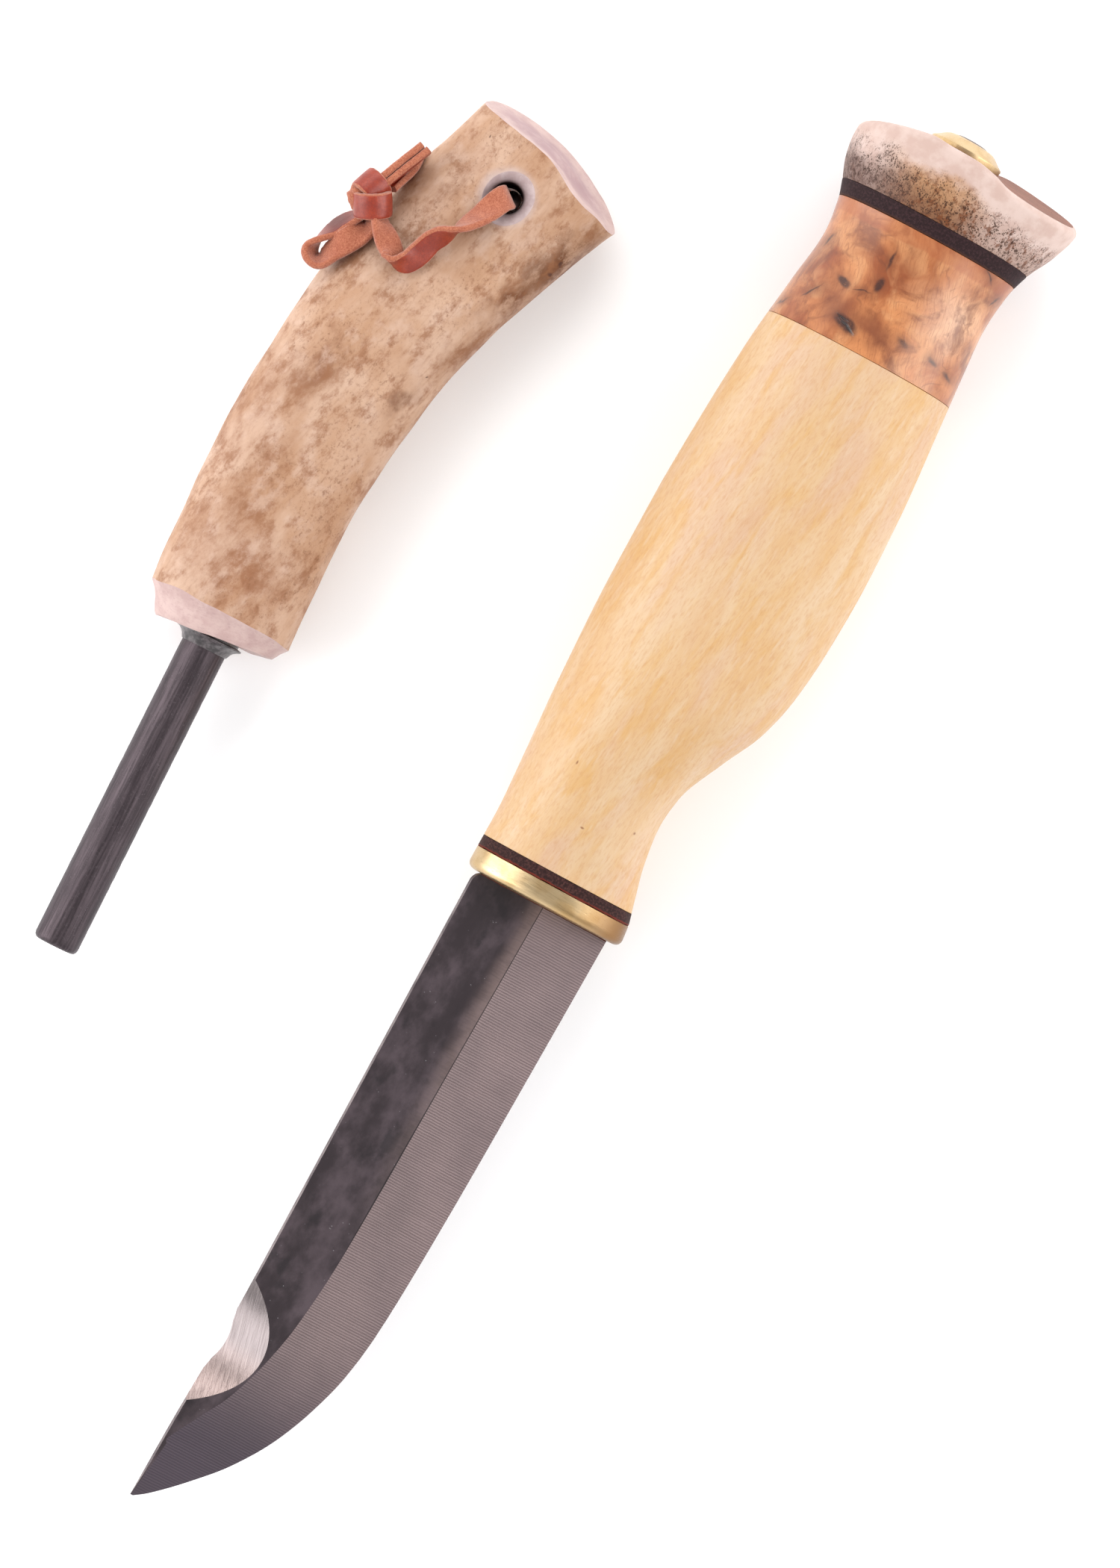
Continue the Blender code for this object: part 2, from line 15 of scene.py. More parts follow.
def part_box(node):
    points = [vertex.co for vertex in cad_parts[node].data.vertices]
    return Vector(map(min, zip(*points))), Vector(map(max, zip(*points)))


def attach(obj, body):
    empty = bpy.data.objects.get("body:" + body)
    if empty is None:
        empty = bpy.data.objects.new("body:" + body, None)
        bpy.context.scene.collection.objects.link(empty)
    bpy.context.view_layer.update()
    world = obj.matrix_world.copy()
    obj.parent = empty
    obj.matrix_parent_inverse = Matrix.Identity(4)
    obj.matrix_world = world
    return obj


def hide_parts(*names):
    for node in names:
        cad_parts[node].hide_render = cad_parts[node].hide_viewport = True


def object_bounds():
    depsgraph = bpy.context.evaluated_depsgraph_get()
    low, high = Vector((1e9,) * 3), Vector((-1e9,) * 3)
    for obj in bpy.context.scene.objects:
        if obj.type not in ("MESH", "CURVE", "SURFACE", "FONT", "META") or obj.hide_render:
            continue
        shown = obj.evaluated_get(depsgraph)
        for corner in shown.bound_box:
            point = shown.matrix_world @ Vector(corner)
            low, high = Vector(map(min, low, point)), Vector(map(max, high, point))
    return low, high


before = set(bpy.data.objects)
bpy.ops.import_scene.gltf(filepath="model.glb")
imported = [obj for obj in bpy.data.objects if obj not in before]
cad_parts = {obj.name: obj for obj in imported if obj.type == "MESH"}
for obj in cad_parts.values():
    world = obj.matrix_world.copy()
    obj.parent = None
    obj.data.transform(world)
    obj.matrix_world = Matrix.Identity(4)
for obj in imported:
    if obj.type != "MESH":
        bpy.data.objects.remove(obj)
cad_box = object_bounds()

MM = 0.001
ROUND = 144  # corners around a grip
TURNED_ROUND = 96  # corners around a turned piece
JOINT = 0.02  # left open at each end of a piece in the stack
EDGE_LENGTH, EDGE_INSET = 0.05, 0.06  # the small chamfer on a stacked piece's edges

# ---- knife, as in the CAD model ----
BLADE_LENGTH = 95.5
BLADE_HALF_THICK = 1.5
EDGE_HALF_THICK = 0.12
TANG_HALF_THICK = 1.35
SPINE_CHAMFER = 0.3
BLADE_WIDEST = 9.85  # from the knife's middle line to the cutting edge at the bolster
SPINE_LINE = [(-95.5, -11.05), (-84, -10.8), (-70, -10.3), (-60, -10.2), (-1.4, -10.2), (-0.5, -9.9),
              (0, -9.3)]
EDGE_LINE = [(-95.5, -10.65), (-94.7, -9.5), (-93.4, -8), (-90, -4.6), (-86, -1.1), (-80, 2.7), (-74, 5.2),
             (-68, 6.9), (-62, 7.8), (-55, 8.3), (-40, 8.9), (-20, 9.4), (0, BLADE_WIDEST)]
BEVEL_LINE = [(-87, -10.6), (-81, -7.3), (-78.5, -5.9), (-75, -4.5), (-71, -3.3), (-65, -2.1), (-54, -1.1),
              (-24, -0.3), (0, 0.3)]
BEVEL_MEETS_SPINE = -87
SCOOP_DEEPEST = Vector((-4, -71.3, BLADE_HALF_THICK))
SCOOP_WHEEL_RADIUS = 16
SCOOP_WHEEL_HALF_WIDE = 16
SCOOP_WHEEL_ROUND = 360
SCOOP_TILT = radians(28.5)
TANG_WIDTH = [(0, 12), (6, 11.6), (30, 7), (100, 4.6), (118, 4)]
TANG_LEAN = 0.018
TANG_POWER = 7  # a tang and its slots are nearly square ovals
SLOT_ROOM = 1.3
POMMEL_SLOT_ROOM = 0.6
POMMEL_RIM = 0.9  # radius of the rounded rim of its sanded end
BOLSTER_END = 3.1
FRONT_SPACER_END = 4.75
BIRCH_END = 84.5
BURL_END = 102.7
REAR_SPACER_END = 104.9
POMMEL_CROWN = [(-13, 112.75), (-10, 113.65), (-6, 114.5), (-2.5, 114.95), (1.5, 115.08), (4, 115.08),
                (6.6, 115.02), (9.3, 114.7), (12, 114.43), (15, 114.17), (18, 113.92), (21, 113.6)]
# How much that end leans over towards the underside, for places across it.
POMMEL_LEAN = [(-13, 0), (-3, 0), (0, 0.03), (4, 0.045), (6.6, 0.085), (9.3, 0.137), (12, 0.15),
               (21, 0.16)]
SPINE_SIDE = [(0, -11.45), (4, -11.4), (8, -11.35), (16, -11.75), (28, -12.5), (44, -13), (56, -12.95),
              (68, -12.5), (80, -11.7), (90, -10.5), (97.5, -9.6), (102, -10.1), (105, -11), (108, -12.05),
              (111, -12.45), (116, -12)]
BELLY_SIDE = [(0, 11.8), (3, 11.5), (6, 10.75), (12, 9.35), (17, 8.85), (21, 9.3), (28, 12.2), (34, 15.1),
              (40, 16.65), (48, 17.5), (57, 17.8), (68, 17.5), (80, 16.6), (90, 15.8), (95.5, 15.45),
              (101, 15.95), (105, 17.1), (109, 19.1), (113, 20.3), (116, 20)]
HALF_THICK = [(0, 8.6), (4.8, 8.7), (10, 9.5), (18, 10.5), (26, 11.35), (34, 11.8), (72, 11.8), (80, 11.6),
              (90, 10.9), (97.5, 10.5), (102, 10.6), (105, 10.95), (109, 11.5), (112, 11.8), (116, 11.8)]
OVAL_POWER = 2.2
BURR_ACROSS = 2.1
BURR_SEAT = 115.5
BURR_LEAN = radians(-1.5)
PEEN_TOP = 117.45

# ---- fire steel, as in the CAD model ----
FIRE_TURN = radians(1.75)
ROD_RADIUS = 3.15
ROD_ACROSS = -0.15
ROD_OUT = 46.4
ROD_IN = 20
ROD_HOLE_RADIUS = 4.2
ANTLER_LEFT = [(0, -10.2), (4, -10.45), (8, -10.75), (20, -11.3), (30, -11.1), (40, -10.25), (50, -8.9),
               (60, -6.6), (70, -3.4), (80, 0.6), (86, 3.2)]
ANTLER_RIGHT = [(0, 10.5), (8, 10.2), (18, 9.9), (26, 10.15), (34, 10.9), (42, 12.4), (50, 14.6), (58, 17.5),
                (66, 21), (74, 24.9), (86, 31)]
ANTLER_HALF_THICK = [(0, 7.9), (6, 8.35), (14, 8.6), (44, 8.6), (56, 7.9), (64, 7.2), (70, 7), (86, 6.8)]
LACE_HOLE = (9.4, 70.35)
LACE_HOLE_RADIUS = 2
LACE_HOLE_MOUTH_RADIUS = 3.6
ROD_END = (0.2, 0.085)  # place and slant of the sawn end
LACE_END_MIDDLE = (12.4, 76.8)  # of the sanded end
LACE_END_HALF_WIDE = 11.6
LACE_END_SLANT, LACE_END_CROWN, LACE_END_LEAN = 0.3465, 2.2, 0.26
ANTLER_BUMPS = [(0.35, (7, 16, 7)), (0.12, (2.2, 6, 2.2))]  # depth, and length along x, y and z
LACE_WIDTH = 3.55
LACE_THICK = 0.98
LACE_STEP = 0.3  # between the rings of a strap
LACE_RAGGED = 0.05
LACE_SEED = 1  # a fixed one, so that the lace is equally ragged each time the script runs

# The lace's routes, as in the CAD model: a place over the table in the fire steel's frame, then the way
# its smooth side faces. The loop starts at the knot, crosses the antler, goes through the hole and comes
# back from underneath.
LACE_LOOP = [
    (-4.2, 59.75, 16.6, -0.5, -0.72, -0.48), (-2.9, 58.45, 17.2, -0.25, -0.55, -0.8),
    (-1.9, 57.55, 17.4, -0.13, -0.45, -0.88), (-0.75, 56.5, 17.9, -0.35, -0.6, -0.72),
    (-0.45, 55.75, 18.2, 0, -1, 0), (1.33, 56.45, 18.1, 0.49, -0.43, 0.76),
    (2.35, 58.25, 17.8, 0.48, -0.17, 0.86), (3, 60.2, 17.9, 0.56, -0.31, 0.77),
    (4, 61.7, 18, 0.58, -0.51, 0.63), (5.05, 62.8, 18.1, 0.77, -0.62, 0.17),
    (6.05, 64.2, 17.9, 0.73, -0.55, -0.41), (7.6, 66.8, 17.3, 0.42, -0.45, -0.79),
    (8.8, 69.5, 16.3, -0.26, -0.45, -0.85), (9.35, 70.3, 14.9, -0.59, -0.76, -0.27),
    (9.4, 70.4, 12.4, -0.61, -0.79, 0), (9.4, 70.35, 9, 0.1, -1, 0),
    (9.4, 70.35, 5.4, 0.9, -0.4, 0), (9.5, 70.35, 4.1, 0.95, 0, 0.3),
    (9.95, 70.35, 2.9, 0.87, 0, 0.4), (10.45, 70.35, 1.85, 1, 0, 0),
    (10, 70.4, 0.95, 0.4, 0, -0.9), (8.6, 70.45, 0.75, 0, 0, -1),
    (5.5, 70.4, 0.75, 0, 0, -1), (1.4, 70.2, 0.9, 0, 0, -1),
    (-2.1, 70, 2, -0.6, 0, -0.8), (-4.1, 69.9, 4.8, -0.93, 0.1, -0.3),
    (-4.42, 69.7, 8.2, -0.97, 0.2, 0.1), (-4.2, 69.2, 10.3, -0.88, 0.3, 0.4),
    (-4.2, 68, 11.72, -0.82, 0.32, 0.46), (-4.65, 66.4, 12.6, -0.82, 0.34, 0.46),
]
LACE_BOW = [
    (-7.55, 59, 13.9, -0.77, 0.51, 0.38), (-8.75, 57.65, 13.3, -0.76, 0.41, 0.51),
    (-9.6, 56.1, 13, -0.78, 0.37, 0.5), (-10.7, 54.2, 13, -0.92, 0.39, 0.07),
    (-11.15, 52.5, 13, -0.87, -0.11, -0.48), (-10.3, 51.45, 13.2, -0.25, -0.85, -0.47),
    (-9.1, 51.9, 13.6, 0.62, -0.5, -0.6), (-8.3, 53.6, 14.2, 0.6, -0.2, -0.77),
    (-7.55, 55, 14.7, 0.25, -0.1, -0.96), (-6.7, 56.3, 14.95, 0.1, -0.05, -0.99),
    (-5.9, 57.6, 15, 0.4, -0.2, -0.89), (-5.3, 58.7, 15, 0.75, -0.2, -0.6),
]
LACE_TAIL_OUTER = [
    (-6.5, 65.7, 15.55, -0.91, 0.42, 0), (-5.7, 67.5, 15.55, -0.91, 0.42, 0),
    (-4.5, 70.1, 15.35, -0.91, 0.42, 0), (-3.9, 71.4, 15.25, -0.91, 0.42, 0),
]
LACE_TAIL_INNER = [
    (-5.5, 65.3, 15.55, 0.91, -0.42, 0), (-4.7, 67.1, 15.55, 0.91, -0.42, 0),
    (-3.5, 69.7, 15.35, 0.91, -0.42, 0), (-2.8, 71.2, 15.25, 0.91, -0.42, 0),
]

# What the straps do inside the knot, past the ends of the CAD solids.
LOOP_FROM_KNOT = (-5.3, 61.2, 15.6, -0.7, -0.68, -0.22)
LOOP_INTO_KNOT = (-5.6, 64.2, 14.4, -0.7, 0.3, 0.65)
BOW_FROM_KNOT = (-6.6, 60.4, 14.6, -0.83, 0.52, 0.2)
BOW_INTO_KNOT = (-5.6, 60.6, 14.9, 0.94, 0.22, -0.25)
TAIL_OUTER_FROM_KNOT = (-7.3, 63.9, 15.2, -0.91, 0.42, 0)
TAIL_INNER_FROM_KNOT = (-6.3, 63.5, 15.2, 0.91, -0.42, 0)

# The turns over the knot: middle, the ways across and up, half width and rise.
KNOT_TURNS = {
    "lace_knot_turn_over": ((-6.25, 61.45, 15.9), (0.886, 0.464, 0), (0.12, -0.22, 0.97), 2.15, 2.2),
    "lace_knot_turn_under": ((-7.35, 63.35, 15.7), (0.93, -0.36, 0), (0.08, 0.2, 0.97), 1.75, 1.8),
}
KNOT_MIDDLE = Vector((-7.55, 61.9, 15.1))
KNOT_SIZE = Vector((2.45, 2.3, 2.2))

# ---- finishes, table, camera and light ----
FLOOR_TONES = ((0.96, 0.96, 0.962), (0.98, 0.98, 0.982))  # the paper's two whites, in linear light
FLOOR_HALF = 1500
# The light burns white out, so finishes are this much darker than they look. Pale matt ones also take
# in white light from the table, so they are darker still, and have less green and blue.
FINISH_SHARE = 0.68
MATT_SHARE = 0.57
MATT_WARMTH = 0.95
VIEW_TURN = radians(28.4)  # of the picture's upright about Z, from the knife's
VIEW_HEIGHT = 1.2  # camera over the table
PICTURE_TALL = 210 * MM  # seen at the height of the knife's middle
PICTURE_OFFSET = (0.7, 1.8)  # of the picture's middle from the set's, right and up
# Softboxes in the picture's own axes, right, up and towards us: place and size in metres, and power.
SOFTBOXES = {
    "softbox_left": ((-0.8, 0.1, 0.42), (0.7, 1), 7.4),
    "softbox_right": ((0.8, 0, 0.5), (0.7, 1), 6.6),
    "softbox_far": ((0, 0.8, 0.6), (0.9, 0.5), 3.6),
}
# The studio is brighter round about than overhead: how high one looks, then how bright it is there.
STUDIO_GLOW = {"From Min": 0.1, "From Max": 0.95, "To Min": 1.55, "To Max": 0.52}


def knife_frame():
    """The knife's own frame on the table: Y 0 is the front face of the bolster, Z 0 the blade's middle."""
    low, high = (Vector(corner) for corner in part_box("blade"))
    return Matrix.Translation((high.x - BLADE_WIDEST * MM, low.y + BLADE_LENGTH * MM, (low.z + high.z) / 2))


def fire_frame():
    """The fire steel's own frame: Y 0 is the sawn end of the antler, and Z 0 the middle of the rod."""
    low, high = (Vector(corner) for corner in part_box("ferro_rod"))
    turn = Matrix.Rotation(FIRE_TURN, 4, "Z")
    rod_middle = Vector((ROD_ACROSS, (ROD_IN - ROD_OUT) / 2, 0)) * MM
    return Matrix.Translation((low + high) / 2) @ turn @ Matrix.Translation(-rod_middle)


KNIFE = knife_frame()
FIRE = fire_frame()
FIRE_MID = FIRE.translation.z / MM
LACE_FRAME = FIRE @ Matrix.Translation((0, 0, -FIRE_MID * MM))  # the fire steel's, from the table up


# ---- mesh tools ----


def smooth(stations, at):
    """The value at a place on a curve through (place, value) stations, with no bump between them."""
    if at <= stations[0][0]:
        return stations[0][1]
    if at >= stations[-1][0]:
        return stations[-1][1]
    steps = [(b[0] - a[0], (b[1] - a[1]) / (b[0] - a[0])) for a, b in zip(stations, stations[1:])]

    def slope(i):
        if i in (0, len(steps)):
            return steps[min(i, len(steps) - 1)][1]
        (before, rise), (after, next_rise) = steps[i - 1], steps[i]
        if rise * next_rise <= 0:
            return 0
        return (before + after) / ((before + 2 * after) / 3 / rise + (after + 2 * before) / 3 / next_rise)

    i = max(k for k in range(len(steps)) if stations[k][0] <= at)
    width = steps[i][0]
    t = (at - stations[i][0]) / width
    return (
        stations[i][1] * (1 + 2 * t) * (1 - t) ** 2
        + stations[i + 1][1] * t * t * (3 - 2 * t)
        + width * t * (1 - t) * (slope(i) * (1 - t) - slope(i + 1) * t)
    )


def oval_point(turn, left, right, half, power):
    """The (x, z) of an oval that reaches from left to right and half up and down, at a turn round it."""
    c, s = cos(turn), sin(turn)
    size = (abs(c) ** power + abs(s) ** power) ** (-1 / power)
    return (left + right) / 2 + (right - left) / 2 * c * size, half * s * size


def oval(left, right, half, power=2, count=ROUND):
    """(x, z) corners around an oval."""
    return [oval_point(2 * pi * k / count, left, right, half, power) for k in range(count)]


def steps_between(start, end, longest):
    """Evenly spaced places from start to end, no further apart than longest."""
    count = max(1, ceil(abs(end - start) / longest - 1e-9))
    return [start + (end - start) * k / count for k in range(count + 1)]


def at_y(outline, y):
    """A ring of points with an (x, z) outline, at one place along the piece."""
    return [Vector((x, y, z)) for x, z in outline]


def skin(rings, looped=False, finish=None):
    """A closed mesh over rings with the same number of corners. Looped rings close on themselves as a
    tube with a wall; otherwise both ends get a cap. finish(row, corner) picks a face's material."""
    mesh = bmesh.new()
    rows = [[mesh.verts.new(point) for point in ring] for ring in rings]
    pairs = list(zip(rows, rows[1:])) + ([(rows[-1], rows[0])] if looped else [])
    for row, (near, far) in enumerate(pairs):
        for k in range(len(near)):
            after = (k + 1) % len(near)
            face = mesh.faces.new((near[k], near[after], far[after], far[k]))
            face.material_index = finish(row, k) if finish else 0
    if not looped:
        for row, ring in ((0, rows[0]), (len(rows) - 2, rows[-1])):
            middle = mesh.verts.new(sum((v.co for v in ring), Vector()) / len(ring))
            for k in range(len(ring)):
                face = mesh.faces.new((ring[k], ring[(k + 1) % len(ring)], middle))
                face.material_index = finish(row, k) if finish else 0
    bmesh.ops.recalc_face_normals(mesh, faces=mesh.faces)
    return mesh


def roughen(mesh, depth, size, reach=lambda point: 1):
    """Moves a mesh's points in and out by a smooth noise. size is the bumps' length along x, y and z."""
    mesh.normal_update()
    moves = []
    for vertex in mesh.verts:
        at = Vector((vertex.co.x / size[0], vertex.co.y / size[1], vertex.co.z / size[2]))
        moves.append(vertex.normal * noise.noise(at) * depth * reach(vertex.co))
    for vertex, move in zip(mesh.verts, moves):
        vertex.co += move


def added(name, data):
    made = bpy.data.objects.new(name, data)
    bpy.context.scene.collection.objects.link(made)
    return made


def piece(name, mesh, finishes, place, sharp=35):
    """A named object in one of the two frames, made from a bmesh in millimetres."""
    data = bpy.data.meshes.new(name)
    bmesh.ops.scale(mesh, vec=(MM, MM, MM), verts=mesh.verts)
    mesh.to_mesh(data)
    mesh.free()
    data.shade_smooth()
    data.set_sharp_from_angle(angle=radians(sharp))
    for finish in finishes:
        data.materials.append(finish)
    made = added(name, data)
    made.matrix_world = place
    return made


def cut(target, mesh, finish, sharp=35):
    """Takes a closed mesh away from a piece, and gives the cut its own material."""
    cutter = piece("cutter", mesh, [finish], target.matrix_world.copy())
    boolean = target.modifiers.new("cut", "BOOLEAN")
    boolean.operation = "DIFFERENCE"
    boolean.solver = "EXACT"
    boolean.material_mode = "TRANSFER"
    boolean.object = cutter
    bpy.context.view_layer.update()
    result = bpy.data.meshes.new_from_object(target.evaluated_get(bpy.context.evaluated_depsgraph_get()))
    target.modifiers.clear()
    target.data = result
    result.name = target.name
    result.set_sharp_from_angle(angle=radians(sharp))
    bpy.data.objects.remove(cutter)


def on_body(made, body, slot, *nodes):
    """Ties a finished piece to its body and hides the CAD nodes that it stands for; slot is not used."""
    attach(made, body)
    if nodes:
        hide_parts(*nodes)


# ---- material tools ----


def srgb(red, green, blue, share=FINISH_SHARE):
    """A colour as it looks in the studio's light, 0 to 255, in the linear light that shaders use."""
    return tuple(((v / 255 + 0.055) / 1.055) ** 2.4 * share for v in (red, green, blue))


def lit(red, green, blue):
    """The same for a pale matt finish, which takes in light from all round and looks brighter for it."""
    return srgb(red, green * MATT_WARMTH, blue * MATT_WARMTH, MATT_SHARE)


class Finish:
    """A material, with short ways to lay out its pattern in millimetres of the piece's own frame. look
    turns its tones into the light that shaders use: srgb, or lit for a pale matt finish."""

    def __init__(self, name, look=srgb, **shader):
        self.material = bpy.data.materials.new(name)
        self.material.use_nodes = True
        self.tree = self.material.node_tree
        self.shader = self.tree.nodes["Principled BSDF"]
        for socket, value in shader.items():
            words = [word.capitalize() if word.islower() else word for word in socket.split("_")]
            self.shader.inputs[" ".join(words)].default_value = value
        coordinates = self.tree.nodes.new("ShaderNodeTexCoord").outputs["Object"]
        self.place = self.scaled(coordinates, 1 / MM)
        self.look = look
        self.colour = None  # what is laid on so far

    def node(self, kind, inputs, output=0, **settings):
        made = self.tree.nodes.new("ShaderNode" + kind)
        for name, value in settings.items():
            setattr(made, name, value)
        for key, value in inputs.items():
            if isinstance(value, bpy.types.NodeSocket):
                self.tree.links.new(value, made.inputs[key])
            else:
                made.inputs[key].default_value = value
        return made.outputs[output]

    def set(self, socket, value):
        self.tree.links.new(value, self.shader.inputs[socket])

    def scaled(self, vector, factor):
        return self.node("VectorMath", {0: vector, "Scale": factor}, operation="SCALE")

    def stretched(self, x, y, z, turn=0, at=(0, 0, 0), vector=None):
        """The place measured from a point, turned about Z, and squeezed so that a pattern is x, y and z
        millimetres long for each unit of its size."""
        shifted = self.node("VectorMath", {0: vector or self.place, 1: at}, operation="SUBTRACT")
        turned = self.node("VectorRotate", {"Vector": shifted, "Angle": -turn}, rotation_type="Z_AXIS")
        return self.node("VectorMath", {0: turned, 1: (1 / x, 1 / y, 1 / z)}, operation="MULTIPLY")

    def bent(self, vector, size, by):
        """A place pushed about by a noise, so that a pattern laid on it wavers."""
        push = self.node("TexNoise", {"Vector": vector, "Scale": 1 / size, "Detail": 2}, output="Color")
        centred = self.node("VectorMath", {0: push, 1: (0.5, 0.5, 0.5)}, operation="SUBTRACT")
        return self.node("VectorMath", {0: vector, 1: self.scaled(centred, by)}, operation="ADD")

    def noise(self, vector, size=1, detail=2, roughness=0.5, distortion=0):
        return self.node("TexNoise", {"Vector": vector, "Scale": 1 / size, "Detail": detail,
                                      "Roughness": roughness, "Distortion": distortion})

    def grain(self, x, y, z, turn=0, at=(0, 0, 0), vector=None, **settings):
        """A noise that is x, y and z millimetres long."""
        return self.noise(self.stretched(x, y, z, turn, at, vector), **settings)

    def cells(self, vector, size=1, feature="F1"):
        return self.node("TexVoronoi", {"Vector": vector, "Scale": 1 / size}, output="Distance",
                         feature=feature)

    def waves(self, vector, size, distortion, detail):
        """Lines across the piece, one after another along it."""
        return self.node("TexWave", {"Vector": vector, "Scale": 1 / size, "Distortion": distortion,
                                     "Detail": detail}, output="Fac", bands_direction="Y")

    def remap(self, value, low, high, to_low=0, to_high=1):
        """The value between low and high, spread over to_low to to_high and held there outside."""
        return self.node("MapRange", {"Value": value, "From Min": low, "From Max": high,
                                      "To Min": to_low, "To Max": to_high}, interpolation_type="SMOOTHSTEP")

    def math(self, operation, a, b=0, clamp=False):
        return self.node("Math", {0: a, 1: b}, operation=operation, use_clamp=clamp)

    def times(self, a, b, clamp=False):
        return self.math("MULTIPLY", a, b, clamp)

    def plus(self, a, b):
        return self.math("ADD", a, b)

    def minus(self, a, b):
        return self.math("SUBTRACT", a, b)

    def most(self, a, b):
        return self.math("MAXIMUM", a, b)

    def axis(self, name):
        return self.node("SeparateXYZ", {0: self.place}, output=name)

    def mix(self, share, a, b):
        """Colour or value a with a share of b over it. A tone is three numbers from 0 to 255."""
        a, b = ((*self.look(*c), 1) if isinstance(c, tuple) else c for c in (a, b))
        return self.node("Mix", {0: share, 6: a, 7: b}, output=2, data_type="RGBA", blend_type="MIX")

    def base(self, value, low, high, first, second):
        """Starts the colour: the first tone, turning into the second as a value goes from low to high."""
        self.colour = self.mix(self.remap(value, low, high), first, second)

    def cover(self, share, tone):
        """Lays a share of a tone over the finish's colour."""
        self.colour = self.mix(share, self.colour, tone)

    def tint(self, value, low, high, share, tone):
        """The same, where a value goes from low to high."""
        self.cover(self.remap(value, low, high, 0, share), tone)

    def spot(self, x, y, wide, long, turn=0, soft=0.5, bend=0, deep=60):
        """1 in an oval mark at (x, y), fading to 0 at its rim; turn leans its long way over."""
        vector = self.bent(self.place, 2.5, bend) if bend else self.place
        flat = self.stretched(wide, long, deep, radians(turn), (x, y, 0), vector)
        distance = self.node("VectorMath", {0: flat}, output="Value", operation="LENGTH")
        return self.remap(distance, 1 - soft, 1, 1, 0)

    def bump(self, height, depth):
        """Adds relief: depth is its height in millimetres."""
        before = self.shader.inputs["Normal"].links
        inputs = {"Height": height, "Distance": depth * MM, "Strength": 1}
        if before:
            inputs["Normal"] = before[0].from_socket
        self.set("Normal", self.node("Bump", inputs))

    def sheen(self, value, low, high, smooth_end, rough_end):
        """Lets the roughness follow a value between low and high."""
        self.set("Roughness", self.remap(value, low, high, smooth_end, rough_end))

    def done(self):
        self.set("Base Color", self.colour)
        return self.material


# ---- materials ----


def glue_at_bolster(f):
    """Tints the last of the blade red-brown, where glue was squeezed out along the bolster."""
    wander = f.times(f.noise(f.place, 1.1, detail=2), 0.18)
    f.tint(f.plus(f.axis("Y"), wander), -0.12, -0.02, 1, (104, 44, 26))


def blackened_steel():
    """The blade's flats: forge scale, blotched and finely pitted."""
    f = Finish("blade_scale", metallic=0.3, roughness=0.42)
    cloud = f.noise(f.stretched(1, 1.6, 1), 5.5, detail=6, roughness=0.62)
    f.base(cloud, 0.36, 0.66, (57, 47, 51), (92, 78, 84))
    blotch = f.noise(f.stretched(1, 1.5, 1, at=(9, 4, 0)), 3.4, detail=4, roughness=0.55)
    f.tint(blotch, 0.54, 0.68, 0.75, (43, 36, 40))
    specks = f.cells(f.place, 0.55)
    rare = f.remap(f.noise(f.place, 1.4), 0.58, 0.7)
    glint = f.times(f.remap(specks, 0.1, 0.2, 0.45, 0), rare)
    f.cover(glint, (170, 165, 170))
    line = f.plus(f.times(f.axis("Y"), 0.0255), 0.3)
    above = f.minus(line, f.axis("X"))
    soft = f.plus(above, f.times(f.noise(f.stretched(1, 2.5, 1), 2, detail=4), 1.2))
    band = f.times(f.remap(soft, 0.5, 3.4, 1, 0), f.remap(f.axis("Y"), -55, -10))
    wear = f.times(band, f.remap(f.grain(2.4, 0.3, 2, detail=3), 0.1, 0.7, 0.45, 0.8))
    f.cover(wear, (146, 124, 120))
    burr = f.times(f.remap(above, 0.06, 0.16, 0.9, 0), f.remap(f.axis("Y"), -56, -50))
    f.cover(burr, (38, 31, 33))
    glue_at_bolster(f)
    f.sheen(cloud, 0.3, 0.7, 0.36, 0.52)
    f.bump(f.noise(f.place, 0.35, detail=4, roughness=0.6), 0.01)
    return f.done()


def ground_steel():
    """The blade's bevels: fine lines left by the grinding belt, straight across the blade."""
    f = Finish("blade_ground", metallic=1, roughness=0.4)
    lines = f.waves(f.bent(f.place, 8, 0.2), 1.15, 1.2, 3)
    uneven = f.grain(30, 0.14, 1, detail=3, roughness=0.7)
    pattern = f.mix(0.55, lines, uneven)
    dull = f.noise(f.stretched(1, 2, 1), 6, detail=3)
    f.base(pattern, 0.1, 0.9, (160, 140, 140), (196, 173, 172))
    far = f.remap(f.axis("Y"), -64, -86, 0, 0.8)
    f.cover(far, (98, 91, 106))
    f.tint(dull, 0.3, 0.75, 0.22, (112, 104, 108))
    glue_at_bolster(f)
    f.sheen(pattern, 0.2, 0.8, 0.36, 0.48)
    f.bump(pattern, 0.012)
    return f.done()


def bright_steel():
    """The freshly ground scoop for striking sparks, with a painted reflection making its far half paler and
    pinker.
    """
    f = Finish("blade_bright", metallic=1, roughness=0.3)
    lines = f.grain(0.1, 7, 1, turn=radians(14), detail=5, roughness=0.75)
    # painted reflection: towards the tip the scoop is painted paler and pinker
    far = f.remap(f.axis("Y"), -70, -77)
    f.base(lines, 0.3, 0.7, (114, 105, 105), (156, 146, 146))
    f.cover(far, f.mix(f.remap(lines, 0.3, 0.7), (158, 139, 135), (220, 197, 191)))
    f.sheen(lines, 0.2, 0.8, 0.2, 0.36)
    f.bump(lines, 0.015)
    return f.done()


def worn_edge():
    """The corner between a flat and the spine, rubbed bright in places."""
    f = Finish("blade_worn_corner", metallic=0.8, roughness=0.38)
    rub = f.remap(f.noise(f.stretched(1, 5, 1), 1.6, detail=5, roughness=0.65), 0.3, 0.62)
    f.colour = f.mix(rub, (78, 70, 74), (138, 128, 128))
    return f.done()


